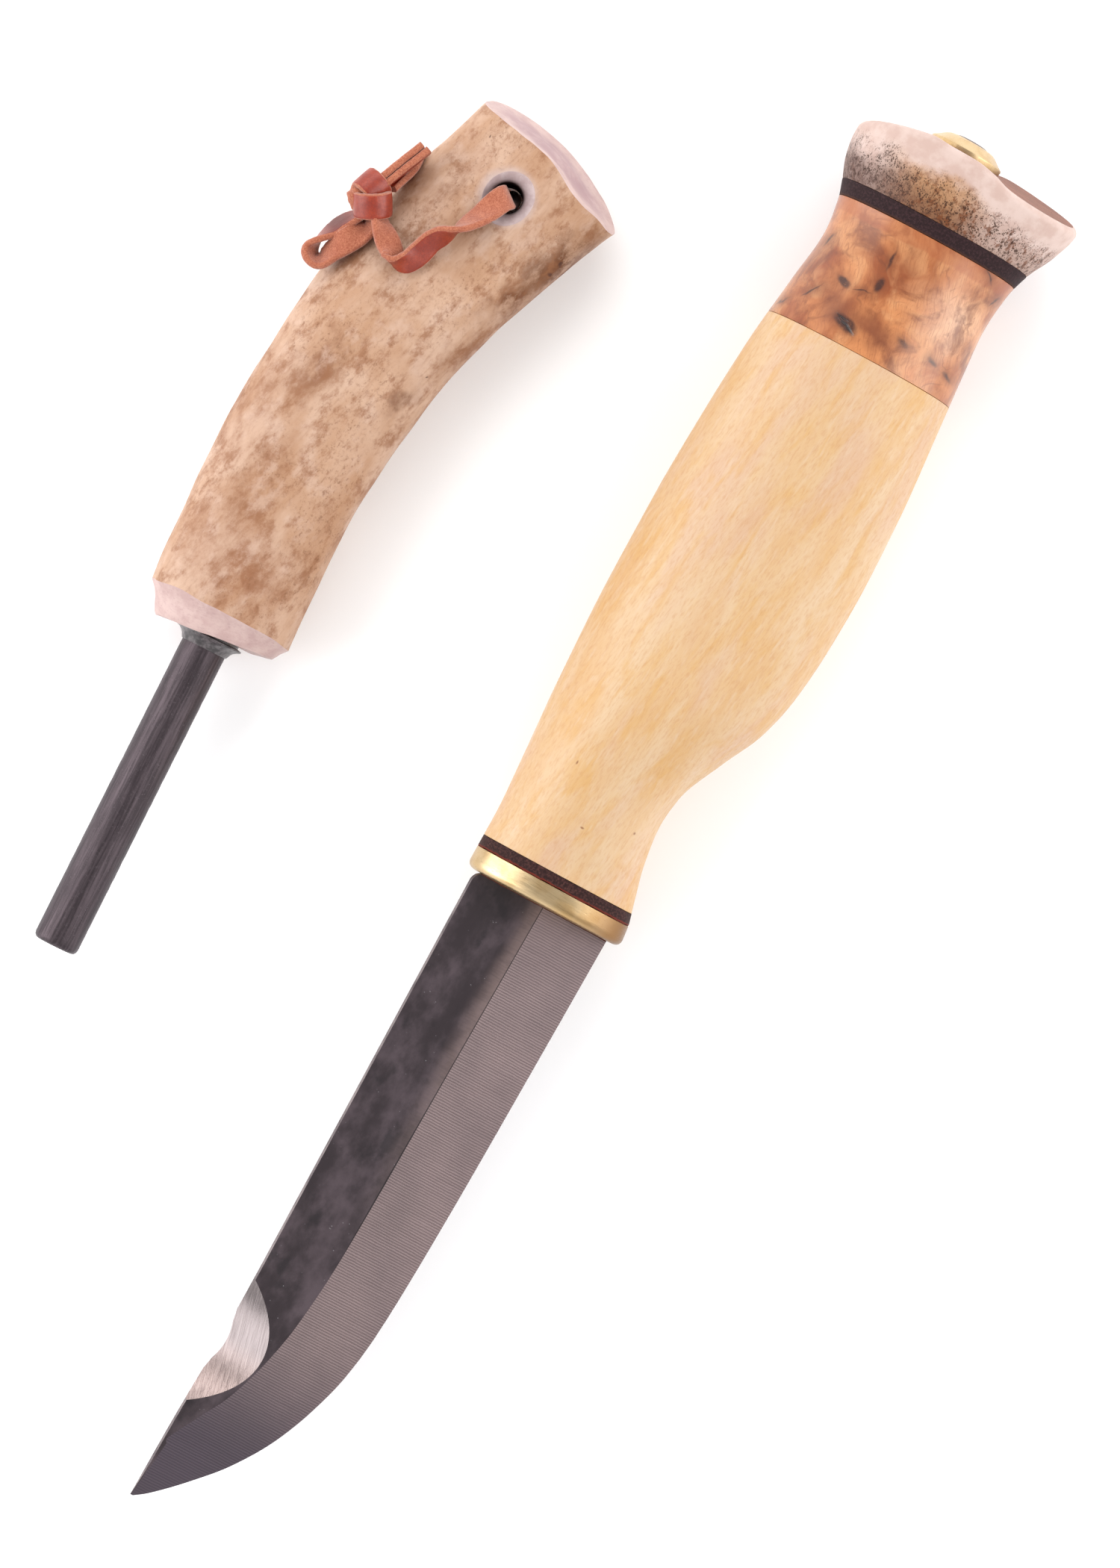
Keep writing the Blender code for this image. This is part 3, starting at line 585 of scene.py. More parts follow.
def brass(name, along=0):
    """Sanded brass, with painted shade darkening it towards the belly; along is the way its scratches run,
    in degrees.
    """
    f = Finish(name, metallic=1, roughness=0.26)
    lean = radians(along)
    scratches = f.grain(9, 0.16, 0.5, turn=lean, detail=5, roughness=0.75)
    deep = f.grain(5, 0.09, 0.3, turn=lean - 0.12, detail=2)
    tarnish = f.noise(f.place, 3.2, detail=3)
    f.base(tarnish, 0.35, 0.7, (246, 216, 168), (226, 188, 132))
    f.tint(deep, 0.6, 0.72, 0.4, (158, 128, 86))
    # painted shade: the brass is darkened towards its belly side
    f.tint(f.axis("X"), 2, 11, 0.95, (158, 116, 76))
    f.sheen(scratches, 0.3, 0.7, 0.27, 0.42)
    f.bump(scratches, 0.012)
    return f.done()


def fibre(name, dark, light, joint, fringe):
    """Pressed fibre spacer, speckled, with a ragged thread of glue along its joint at a place along the
    knife."""
    f = Finish(name, roughness=0.7, specular_IOR_level=0.15)
    speck = f.noise(f.place, 0.3, detail=4, roughness=0.7)
    f.base(speck, 0.42, 0.7, dark, light)
    ragged = f.times(f.grain(0.8, 0.3, 0.8, detail=3), 0.42)
    away = f.minus(f.math("ABSOLUTE", f.minus(f.axis("Y"), joint)), ragged)
    f.cover(f.remap(away, 0, 0.1, 0.85, 0), fringe)
    f.bump(speck, 0.03)
    return f.done()


def birch():
    """Oiled birch: cream, with pinkish zones, golden streaks and a silky short grain."""
    f = Finish("birch_wood", lit, roughness=0.42, specular_IOR_level=0.35)
    grain = radians(-7)
    slow = f.grain(5, 30, 6, grain, detail=4, roughness=0.5, distortion=0.5)
    f.base(slow, 0.3, 0.7, (250, 226, 182), (244, 208, 150))
    pink = f.grain(6, 20, 8, grain, (30, 0, 0), detail=3)
    f.tint(pink, 0.48, 0.68, 0.6, (240, 208, 178))
    gold = f.grain(2.2, 10, 3.2, grain, detail=6, roughness=0.6, distortion=0.5)
    f.tint(gold, 0.44, 0.7, 0.62, (242, 196, 112))
    silk = f.grain(0.24, 1.2, 0.5, grain, detail=4, roughness=0.65)
    f.tint(silk, 0.44, 0.72, 0.42, (224, 172, 112))
    pale = f.grain(0.5, 3, 0.8, grain, (0, 9, 0), detail=3)
    f.tint(pale, 0.52, 0.74, 0.4, (250, 230, 196))
    pits = f.most(f.spot(-0.2, 11.75, 0.42, 0.22, soft=0.7, bend=0.5),
                  f.spot(-5, 19.2, 0.2, 0.42, soft=0.7, bend=0.5))
    pits = f.most(pits, f.spot(6.2, 14.4, 0.2, 0.3, soft=0.8, bend=0.5))
    f.cover(f.times(pits, 0.75), (150, 92, 60))
    f.sheen(silk, 0.3, 0.7, 0.38, 0.5)
    f.bump(silk, 0.012)
    return f.done()


def patched(f, patches, bend, broken=1):
    """Lays broad, blurred patches of other tones over the colour, broken up by a pattern."""
    for x, y, wide, long, lean, share, tone in patches:
        patch = f.spot(x, y, wide, long, lean, soft=1, bend=bend)
        f.cover(f.times(f.times(patch, share), broken, clamp=True), tone)


# Broad patches of tone in the burl: across, along, half width, half length, lean, share, colour.
BURL_PATCHES = [
    (-3.5, 89, 3.6, 6.5, 62, 0.75, (144, 78, 44)),
    (-10.5, 93, 3, 7, 4, 0.55, (150, 84, 48)),
    (2.6, 88, 2.8, 6.5, 66, 0.9, (136, 70, 40)),
    (11.5, 94.5, 5.5, 7, 20, 1, (255, 210, 166)),
    (5.6, 95, 3.6, 4.5, 0, 0.5, (246, 190, 138)),
    (-5, 98, 3.6, 4.6, 30, 0.6, (232, 166, 108)),
    (2.4, 97, 1.8, 5, 0, 0.35, (150, 84, 46)),
    (13.5, 101.5, 1.6, 4, 44, 0.5, (158, 86, 48)),
]
# Dark marks in the burl: across, along, half width, half length, lean in degrees, softness.
BURL_MARKS = [
    (-1.5, 87.4, 1.15, 2.6, 69, 0.55),
    (-4.2, 92.3, 0.75, 1.3, 67, 0.6),
    (0.1, 93.8, 0.62, 1.6, 0, 0.6),
    (0, 97.7, 0.28, 2.2, 6, 0.8),
    (-1.5, 92.1, 0.14, 1.8, -79, 0.8),
    (-7.4, 89.2, 0.16, 2.2, -33, 0.8),
    (-8.6, 96.4, 0.22, 1.8, -16, 0.9),
    (12.7, 102, 0.26, 1.5, 46, 0.9),
    (14.7, 99.6, 0.22, 1.3, -27, 0.9),
    (6.5, 88.6, 0.55, 1.3, 68, 1),
    (11.2, 88.4, 0.55, 1.1, 73, 1),
    (14, 87.6, 0.5, 1.3, 62, 1),
    (-10.2, 86.4, 0.2, 1.4, -32, 1),
]


def burl():
    """Burled birch: glowing patches of orange and peach, with dark figure round its eyes."""
    f = Finish("burl_wood", lit, roughness=0.3, specular_IOR_level=0.5, coat_weight=0.2,
               coat_roughness=0.22)
    wild = f.bent(f.place, 10, 11)
    field = f.grain(7, 9, 7, vector=wild, detail=5, roughness=0.55)
    f.base(field, 0.34, 0.64, (172, 94, 48), (236, 162, 100))
    glow = f.grain(5, 6.5, 5, vector=wild, at=(7, 0, 0), detail=4)
    f.tint(glow, 0.46, 0.64, 0.6, (250, 192, 132))
    patched(f, BURL_PATCHES, 4)
    shade = f.grain(5, 6, 5, vector=wild, at=(5, 3, 0), detail=6, roughness=0.6)
    f.tint(shade, 0.5, 0.68, 0.75, (132, 68, 36))
    fine = f.grain(0.16, 2.6, 0.5, radians(14), vector=f.bent(f.place, 5, 1.8), detail=3)
    f.tint(fine, 0.46, 0.74, 0.4, (156, 88, 50))
    fleck = f.grain(0.3, 0.9, 0.4, radians(-20), detail=5, roughness=0.7)
    f.tint(fleck, 0.54, 0.74, 0.45, (142, 78, 44))
    contour = f.grain(4, 4, 4, vector=wild, at=(0, 11, 0), detail=2)
    thread = f.math("ABSOLUTE", f.minus(contour, 0.5))
    some = f.remap(f.noise(f.place, 5, detail=1), 0.52, 0.66, 0, 0.4)
    f.cover(f.times(f.remap(thread, 0, 0.035, 1, 0), some), (122, 64, 36))
    collar = f.plus(f.axis("Y"), f.times(f.grain(3, 3, 3, detail=2), 1.2))
    f.tint(collar, 101, 101.5, 0.5, (190, 108, 62))
    halo, figure = None, None
    for x, y, wide, long, lean, soft in BURL_MARKS:
        dark = f.spot(x, y, wide, long, lean, soft, bend=1.1)
        round_it = f.spot(x, y, wide + 1.1, long + 1.1, lean, 1, bend=1.6)
        figure = f.most(figure, dark) if figure else dark
        halo = f.most(halo, round_it) if halo else round_it
    f.cover(f.times(halo, 0.55), (126, 68, 38))
    broken = f.remap(f.noise(f.place, 0.5, detail=5, roughness=0.7), 0.34, 0.56, 0.6, 0.95)
    f.cover(f.times(figure, broken), (76, 42, 32))
    cracks = f.most(f.spot(-1.2, 87.1, 0.26, 2, 64, 0.8, 0.8),
                    f.spot(-2.2, 87.9, 0.18, 1.2, 76, 0.8, 0.8))
    f.cover(f.times(cracks, 0.9), (36, 24, 22))
    f.bump(fine, 0.01)
    f.bump(f.minus(1, cracks), 0.2)
    return f.done()


# Patches of tone in the antler's skin, in the same order, and its pits: across, along, radius.
ANTLER_PATCHES = [
    (-8.5, 30, 4.5, 13, -6, 0.65, (178, 130, 94)),
    (-7.6, 12, 3.6, 9, 0, 0.6, (176, 126, 88)),
    (9, 39.8, 1.8, 4.5, -20, 0.8, (138, 92, 60)),
    (13.2, 49, 2.6, 8, -24, 0.75, (158, 106, 66)),
    (19.6, 65.5, 4.2, 9.5, -30, 1, (124, 76, 42)),
    (16, 58.5, 3.2, 7, -30, 0.95, (136, 86, 50)),
    (5.5, 31, 4.5, 15, -8, 0.6, (244, 214, 182)),
    (2.2, 68, 2.6, 6, -20, 0.6, (158, 106, 66)),
    (8, 53, 4, 6, -20, 0.5, (244, 212, 178)),
    (-2.6, 38.5, 4.2, 9, -12, 0.85, (156, 106, 70)),
    (-3.5, 22, 5.5, 14, -6, 0.55, (172, 122, 84)),
    (0, 9.5, 9.5, 10.5, 0, 0.85, (176, 124, 86)),
    (5.8, 41, 3, 6.5, -18, 0.6, (248, 216, 182)),
    (3.6, 73, 3.6, 4, 0, 0.5, (190, 138, 98)),
    (12.6, 58.5, 3, 8, -26, 0.5, (246, 208, 168)),
]
ANTLER_PITS = [(19.7, 65.5, 0.3), (18.75, 63.9, 0.24), (10.6, 44.2, 0.22), (3.4, 76.6, 0.16)]


def antler_skin():
    """The antler's natural outside: tan, clouded with brown, finely speckled, paler by the lace hole."""
    f = Finish("antler_skin", lit, roughness=0.5, specular_IOR_level=0.35)
    lean = radians(-16)
    broad = f.grain(7, 16, 8, lean, detail=4, roughness=0.6)
    f.base(broad, 0.36, 0.62, (238, 208, 178), (216, 176, 138))
    cloud = f.grain(2.6, 4.2, 4, lean, (4, 0, 0), detail=8, roughness=0.7)
    patched(f, ANTLER_PATCHES, 4.5, f.remap(cloud, 0.36, 0.56, 0.35, 1.15))
    pink = f.grain(3.4, 5.5, 4, lean, (0, 7, 0), detail=5, roughness=0.6)
    f.tint(pink, 0.5, 0.66, 0.5, (242, 216, 192))
    f.tint(cloud, 0.48, 0.66, 0.8, (172, 120, 80))
    patch = f.grain(9, 13, 9, lean, (2, 5, 0), detail=3)
    speck = f.grain(0.5, 0.7, 0.6, detail=8, roughness=0.8)
    specks = f.times(f.remap(speck, 0.5, 0.66), f.remap(patch, 0.42, 0.6, 0.2, 1))
    f.cover(f.times(specks, 0.7), (146, 98, 62))
    streak = f.grain(0.5, 5.5, 0.5, lean, detail=5, roughness=0.65)
    f.tint(streak, 0.52, 0.74, 0.3, (172, 124, 88))
    for x, y, radius in ANTLER_PITS:
        pit = f.spot(x, y, radius, radius * 1.5, -30, soft=0.7, bend=1.6)
        f.cover(f.times(pit, 0.8), (84, 48, 38))
    mouth = f.spot(*LACE_HOLE, 4.7, 4.7, soft=0.4, bend=0.7)
    f.cover(f.times(mouth, 0.9), (232, 220, 214))
    f.sheen(cloud, 0.35, 0.7, 0.44, 0.6)
    f.bump(streak, 0.03)
    f.bump(speck, 0.02)
    return f.done()


def antler_cut():
    """Sanded antler: a pinkish white rim round a mauve, faintly grained core."""
    f = Finish("antler_cut", lit, roughness=0.5, specular_IOR_level=0.4)
    cloud = f.noise(f.place, 2.4, detail=4, roughness=0.6)
    f.base(cloud, 0.34, 0.68, (242, 220, 212), (224, 197, 191))
    core = f.spot(12.4, 77, 11.6, 40, soft=0.55, bend=1.6, deep=5.6)
    core = f.times(core, f.remap(cloud, 0.3, 0.6, 0.55, 0.9))
    f.cover(core, (196, 164, 168))
    fine = f.grain(0.5, 0.2, 0.5, detail=3)
    f.tint(fine, 0.5, 0.74, 0.35, (196, 168, 168))
    f.bump(fine, 0.02)
    return f.done()


def hole_wall():
    """The bored wall of the lace hole: pale at its rounded mouth, with painted shade greying it deeper in
    and darkening it inside.
    """
    f = Finish("antler_bore", lit, roughness=0.8, specular_IOR_level=0.1)
    cloud = f.noise(f.place, 1.2, detail=5, roughness=0.6)
    mouth = f.mix(f.remap(cloud, 0.35, 0.65), (248, 238, 236), (228, 214, 212))
    # painted shade: the mouth greys as it goes down into the hole
    mouth = f.mix(f.remap(f.axis("Z"), 6.2, 7.1, 0.45, 0), mouth, (160, 146, 150))
    # painted shade: below the mouth the bore is painted nearly black
    f.base(f.axis("Z"), 5.3, 6.3, (34, 16, 16), mouth)
    f.bump(cloud, 0.02)
    return f.done()


def pommel_antler():
    """The pommel's side: pale at its rim, brown in the middle, dark and finely porous by the spacer."""
    f = Finish("pommel_skin", lit, roughness=0.5, specular_IOR_level=0.25)
    wander = f.minus(f.grain(5, 4, 5, detail=4, roughness=0.55), 0.5)
    slant = f.times(f.axis("X"), 0.06)
    back = f.plus(f.plus(f.axis("Y"), f.times(wander, 6)), slant)
    cloud = f.noise(f.place, 2.4, detail=5, roughness=0.55)
    f.base(cloud, 0.35, 0.65, (248, 232, 220), (232, 210, 196))
    middle = f.times(f.remap(f.axis("X"), -9, -1), f.remap(f.axis("X"), 11, 3))
    warm = f.times(f.remap(back, 111.6, 108.9), f.times(middle, 0.85))
    f.cover(warm, (214, 164, 104))
    near = f.remap(back, 106.2, 110.4, 1, 0)
    shade = f.mix(f.remap(f.axis("X"), -10, 2), (116, 90, 80), (134, 92, 64))
    shade = f.mix(f.remap(f.axis("X"), 4, 11), shade, (196, 172, 156))
    grain = f.grain(0.55, 0.8, 0.55, detail=7, roughness=0.78)
    uneven = f.times(near, f.remap(grain, 0.38, 0.58, 0.75, 1))
    f.cover(uneven, shade)
    rust = f.grain(0.9, 1.3, 0.9, at=(0, 5, 0), detail=5, roughness=0.7)
    rust = f.times(f.remap(rust, 0.5, 0.62), f.remap(back, 111.2, 108.7, 0, 0.8))
    rust = f.times(rust, f.remap(f.axis("X"), -7, 1, 0.25, 1))
    f.cover(rust, (130, 74, 36))
    dark = f.times(f.remap(grain, 0.51, 0.62), f.remap(back, 111.2, 107.3, 0, 0.95))
    f.cover(dark, (72, 44, 28))
    pores = f.cells(f.bent(f.stretched(0.24, 0.34, 0.24), 1.5, 0.5))
    wide = f.remap(f.noise(f.place, 1.1, detail=3), 0.36, 0.66, 0.14, 0.44)
    hole = f.times(f.math("LESS_THAN", pores, wide), f.remap(back, 111.8, 108.4, 0, 0.85))
    f.cover(hole, (76, 46, 28))
    f.bump(f.minus(1, hole), 0.04)
    f.bump(grain, 0.02)
    return f.done()


def pommel_end():
    """The pommel's sanded end: brown, matt, finely grained."""
    f = Finish("pommel_end", lit, roughness=0.62, specular_IOR_level=0.3)
    grain = f.noise(f.place, 0.3, detail=4, roughness=0.7)
    core = f.noise(f.place, 3, detail=3)
    f.base(core, 0.35, 0.65, (172, 116, 90), (152, 102, 80))
    f.tint(grain, 0.45, 0.7, 0.55, (104, 70, 58))
    f.bump(grain, 0.03)
    return f.done()


def ferrocerium():
    """The rod: dark cast metal with fine lengthwise marks."""
    f = Finish("ferrocerium_rod", metallic=0.75, roughness=0.36)
    marks = f.grain(0.35, 9, 0.35, detail=4, roughness=0.65)
    grain = f.noise(f.place, 0.25, detail=3, roughness=0.7)
    f.base(marks, 0.35, 0.68, (68, 59, 63), (98, 86, 91))
    f.tint(grain, 0.55, 0.75, 0.5, (132, 121, 126))
    f.sheen(grain, 0.3, 0.7, 0.38, 0.52)
    f.bump(marks, 0.02)
    f.bump(grain, 0.012)
    return f.done()


def epoxy():
    """Dark epoxy squeezed out round the rod, uneven and a little glossy."""
    f = Finish("epoxy_fillet", roughness=0.28)
    cloud = f.noise(f.place, 0.8, detail=4, roughness=0.6)
    f.base(cloud, 0.36, 0.66, (56, 50, 52), (112, 104, 106))
    f.bump(cloud, 0.1)
    return f.done()


def leather_smooth():
    """The lace's dressed side: red-brown, sleek and finely creased, and darker inside the bow."""
    f = Finish("leather_grain", lit, roughness=0.4, specular_IOR_level=0.4, coat_weight=0.12,
               coat_roughness=0.25)
    cloud = f.noise(f.place, 2.2, detail=4, roughness=0.6)
    f.base(cloud, 0.34, 0.66, (190, 76, 46), (164, 58, 36))
    shaded = f.spot(-9.9, 57.4, 2.6, 3.6, -42, soft=0.8)
    f.cover(f.times(shaded, 0.8), (92, 44, 40))
    crease = f.cells(f.bent(f.place, 0.5, 0.3), 0.42, feature="DISTANCE_TO_EDGE")
    f.cover(f.remap(crease, 0, 0.12, 0.3, 0), (112, 42, 34))
    f.sheen(cloud, 0.3, 0.7, 0.3, 0.44)
    f.bump(f.remap(crease, 0, 0.12), 0.008)
    f.bump(f.noise(f.place, 1.1, detail=2), 0.03)
    return f.done()


def leather_suede():
    """The lace's rough side and cut edges: orange tan, fuzzy."""
    f = Finish("leather_suede", lit, roughness=0.85, specular_IOR_level=0.2, sheen_weight=0.35,
               sheen_roughness=0.5)
    nap = f.noise(f.place, 0.2, detail=4, roughness=0.7)
    f.base(nap, 0.34, 0.66, (186, 104, 74), (230, 152, 114))
    cloud = f.noise(f.place, 1.3, detail=3)
    f.tint(cloud, 0.5, 0.7, 0.4, (180, 98, 70))
    f.bump(nap, 0.09)
    return f.done()


def pale_floor():
    f = Finish("floor_paper", lambda *tone: tone, roughness=0.8, specular_IOR_level=0.1)
    cloud = f.noise(f.place, 60, detail=2)
    f.colour = f.mix(cloud, FLOOR_TONES[0], FLOOR_TONES[1])
    return f.done()


# ---- knife ----


def tang_middle(y):
    return max(0, y) * TANG_LEAN


def tang_outline(y, room):
    """(x, z) corners around a slot with that much room to each side of the tang."""
    half_width, middle = smooth(TANG_WIDTH, y) / 2 + room, tang_middle(y)
    return oval(middle - half_width, middle + half_width, TANG_HALF_THICK + room, TANG_POWER)


def blade_ring(spine, bevel, edge, half, edge_half, y):
    """Eight corners around the blade: two on the spine, then the upper and the lower side."""
    corner = min(SPINE_CHAMFER, half / 2, max(0.02, (bevel - spine) / 2))
    outline = [
        (spine, -half + corner), (spine, half - corner), (spine + corner, half), (bevel, half),
        (edge, edge_half), (edge, -edge_half), (bevel, -half), (spine + corner, -half),
    ]
    return at_y(outline, y)


def make_blade(finishes):
    """Blade and tang in one, with the ground scoop cut out of its upper flat."""
    rings = []
    shoulder = -JOINT
    places = steps_between(-BLADE_LENGTH, -60, 0.4) + steps_between(-59, -2, 1.5)
    places += steps_between(-1.4, shoulder, 0.12)
    for y in places:
        spine, edge = smooth(SPINE_LINE, y), smooth(EDGE_LINE, y)
        if y < BEVEL_MEETS_SPINE:
            full = smooth(EDGE_LINE, BEVEL_MEETS_SPINE) - smooth(SPINE_LINE, BEVEL_MEETS_SPINE)
            half = max(0.15, BLADE_HALF_THICK * (edge - spine) / full)
            bevel = spine + 0.1 * (edge - spine)
        else:
            half, bevel = BLADE_HALF_THICK, max(smooth(BEVEL_LINE, y), spine + 2 * SPINE_CHAMFER)
        rings.append(blade_ring(spine, bevel, edge, half, min(EDGE_HALF_THICK, half / 2), y))
    side = TANG_HALF_THICK - SPINE_CHAMFER
    for y in [shoulder, 6, 18, 30, 65, 100, 113]:
        half_width, middle = smooth(TANG_WIDTH, y) / 2, tang_middle(y)
        left, right = middle - half_width, middle + half_width
        rings.append(blade_ring(left, right - SPINE_CHAMFER, right, TANG_HALF_THICK, side, y))
    scale, ground, worn = 0, 1, 2
    sides = [scale, worn, scale, ground, ground, ground, scale, worn]
    mesh = skin(rings, finish=lambda row, corner: sides[corner])
    steel = [finishes[name] for name in ("scale", "ground", "worn")]
    blade = piece("knife_blade", mesh, steel, KNIFE, sharp=8)
    along = Vector((cos(SCOOP_TILT), 0, sin(SCOOP_TILT)))
    outwards = Vector((-sin(SCOOP_TILT), 0, cos(SCOOP_TILT)))
    middle = SCOOP_DEEPEST + outwards * SCOOP_WHEEL_RADIUS
    rim = []
    for k in range(SCOOP_WHEEL_ROUND):
        turn = 2 * pi * k / SCOOP_WHEEL_ROUND
        away = outwards * cos(turn) + Vector((0, sin(turn), 0))
        rim.append(middle + away * SCOOP_WHEEL_RADIUS)
    reaches = -SCOOP_WHEEL_HALF_WIDE, SCOOP_WHEEL_HALF_WIDE
    wheel = [[point + along * reach for point in rim] for reach in reaches]
    cut(blade, skin(wheel), finishes["bright"], sharp=8)
    on_body(blade, "knife", "blade_steel", "blade")


def grip_outline(y, inset):
    """(x, z) corners around the knife's outside, from bolster to pommel."""
    left, right, half = smooth(SPINE_SIDE, y), smooth(BELLY_SIDE, y), smooth(HALF_THICK, y)
    return oval(left + inset, right - inset, half - inset, OVAL_POWER)


def stacked(name, start, end, longest, room, finish, slot, node,
            front=((0, EDGE_INSET), (EDGE_LENGTH, 0)), waver=0):
    """One piece of the stack on the tang: the grip's outline outside and the tang's slot inside.
    front lists (distance from the front, inset) of the rings that round its front edge off. waver is
    how far its two ends wander along the knife."""
    start, end = start + JOINT, end - JOINT
    fronts = [start + distance for distance, _ in front]
    body = steps_between(fronts[-1], end - EDGE_LENGTH, longest)[1:]
    places = fronts + body + [end]
    insets = [inset for _, inset in front] + [0] * len(body) + [EDGE_INSET]
    outer = [at_y(grip_outline(y, inset), y) for y, inset in zip(places, insets)]
    inner = [at_y(tang_outline(y, room), y) for y in reversed(places)]
    for ring in (outer[0], outer[1], outer[-2], outer[-1]):
        for point in ring:
            point.y += waver * noise.noise(Vector((point.x, ring[0].y * 3, point.z)) * 0.9)
    made = piece(name, skin(outer + inner, looped=True), [finish], KNIFE)
    on_body(made, "knife", slot, node)


def pommel_face(x, z):
    """How far along the pommel's sanded end lies: crowned across, and leaning over on its belly half."""
    return smooth(POMMEL_CROWN, x) - smooth(POMMEL_LEAN, x) * z


def make_pommel(finishes):
    start = REAR_SPACER_END + JOINT

    def ring(share, inset, below):
        """A ring part of the way from the spacer to the sanded end, whose rim follows that end."""
        points = []
        for k in range(ROUND):
            y = 114
            for _ in range(6):
                x, z = grip_outline(start + (y - start) * share, inset)[k]
                y = pommel_face(x, z) - below
            points.append(Vector((x, start + (y - start) * share, z)))
        return points

    outer = [ring(k / 20, EDGE_INSET if k == 0 else 0, POMMEL_RIM) for k in range(21)]
    for turn in range(15, 91, 15):
        away = radians(turn)
        outer.append(ring(1, POMMEL_RIM * (1 - cos(away)), POMMEL_RIM * (1 - sin(away))))
    rim = outer[-1]
    slot = tang_outline(BURR_SEAT, POMMEL_SLOT_ROOM)
    face = []
    for share in (0.06, 0.2, 0.4, 0.6, 0.8, 1):
        ring_points = []
        for point, (x, z) in zip(rim, slot):
            across, up = point.x + (x - point.x) * share, point.z + (z - point.z) * share
            ring_points.append(Vector((across, pommel_face(across, up), up)))
        face.append(ring_points)
    bottom = at_y(tang_outline(start, POMMEL_SLOT_ROOM), start)
    sanded_from = len(outer) - 1
    mesh = skin(outer + face + [bottom], looped=True, finish=lambda row, _: int(row >= sanded_from))
    made = piece("pommel", mesh, [finishes["pommel"], finishes["pommel_end"]], KNIFE)
    on_body(made, "knife", "antler", "pommel_antler")


def burr_foot(point):
    """Where the burr's underside meets the pommel's end, at a point of it in the burr's own frame."""
    face = pommel_face(BURR_ACROSS + point.x, point.z)
    return (face + 2 * JOINT - BURR_SEAT - point.x * sin(BURR_LEAN)) / cos(BURR_LEAN)


def turned(name, profile, finish, place, across=0, looped=True, wobble=0, foot=None):
    """A shape turned about a line along Y, from its (radius, y) profile. foot gives the place along Y of
    the points at y = 0 instead."""
    rings = []
    for radius, y in profile:
        ring = at_y(oval(across - radius, across + radius, radius, count=TURNED_ROUND), y)
        for k, point in enumerate(ring):
            turn = k / TURNED_ROUND * tau
            grow = 1 + wobble * noise.noise(Vector((cos(turn), sin(turn), y / 2)) * 2)
            point.x = across + (point.x - across) * grow
            point.z *= grow
            if foot and y == 0:
                point.y = foot(point)
        rings.append(ring)
    return piece(name, skin(rings, looped=looped), [finish], place)


def make_knife(finishes):
    make_blade(finishes)
    stacked("bolster_brass", 0, BOLSTER_END, 0.4, 0.3, finishes["brass"], "brass", "bolster",
            front=((0, 1), (0.08, 0.7), (0.2, 0.45), (0.4, 0.22), (0.7, 0.06), (1, 0)))
    stacked("spacer_front", BOLSTER_END, FRONT_SPACER_END, 0.4, 0.3, finishes["fibre_front"], "dark_fibre",
            "front_spacer", waver=0.12)
    stacked("grip_birch", FRONT_SPACER_END, BIRCH_END, 1, SLOT_ROOM, finishes["birch"], "birch",
            "handle_birch")
    stacked("grip_burl", BIRCH_END, BURL_END, 0.6, SLOT_ROOM, finishes["burl"], "birch_burl", "handle_burl")
    stacked("spacer_rear", BURL_END, REAR_SPACER_END, 0.4, 0.4, finishes["fibre_rear"], "dark_fibre",
            "rear_spacer", waver=0.08)
    make_pommel(finishes)
    dome = [(5.15, 0), (5.25, 0.08), (5.25, 0.25), (5.05, 0.42), (4.7, 0.62), (4.2, 1), (3.7, 1.36),
            (3.3, 1.56), (2.9, 1.64), (2.6, 1.6), (2.3, 1.4), (2.05, 1.1), (2.05, 0)]
    seat = KNIFE @ Matrix.Translation(Vector((BURR_ACROSS, BURR_SEAT, 0)) * MM)
    seat = seat @ Matrix.Rotation(BURR_LEAN, 4, "Z")
    burr = turned("burr_washer", dome, finishes["brass_burr"], seat, foot=burr_foot)
    on_body(burr, "knife", "brass", "pommel_burr")
    top = PEEN_TOP - BURR_SEAT
    head = [(1.7, -1), (1.7, top - 0.8), (2.3, top - 0.5), (2.42, top - 0.38), (2.3, top - 0.2),
            (1.9, top - 0.08), (1.2, top - 0.02), (0.5, top)]
    peen = turned("tang_peen", head, finishes["worn"], seat, looped=False, wobble=0.06)
    on_body(peen, "knife", "blade_steel")


# ---- fire steel ----


def antler_point(turn, y, inset=0):
    """A point on the antler's natural surface, at a turn around it and a place along it."""
    left, right = smooth(ANTLER_LEFT, y) + inset, smooth(ANTLER_RIGHT, y) - inset
    half = smooth(ANTLER_HALF_THICK, y) - inset
    x, z = oval_point(turn, left, right, half, OVAL_POWER)
    return Vector((x, y, z))


def rod_end_face(x):
    """The sawn end that the rod comes out of."""
    place, slant = ROD_END
    return place + slant * x


def lace_end_face(x, z):
    """The sanded end by the lace: it slants, is crowned across, and leans over towards its underside."""
    middle, along = LACE_END_MIDDLE
    across = x - middle
    dip = 0.12 * max(0, z) * exp(-(((across - 5.6) / 3.2) ** 2))
    crown = LACE_END_CROWN * (1 - (across / LACE_END_HALF_WIDE) ** 2)
    return along - LACE_END_SLANT * across + crown - LACE_END_LEAN * z - dip


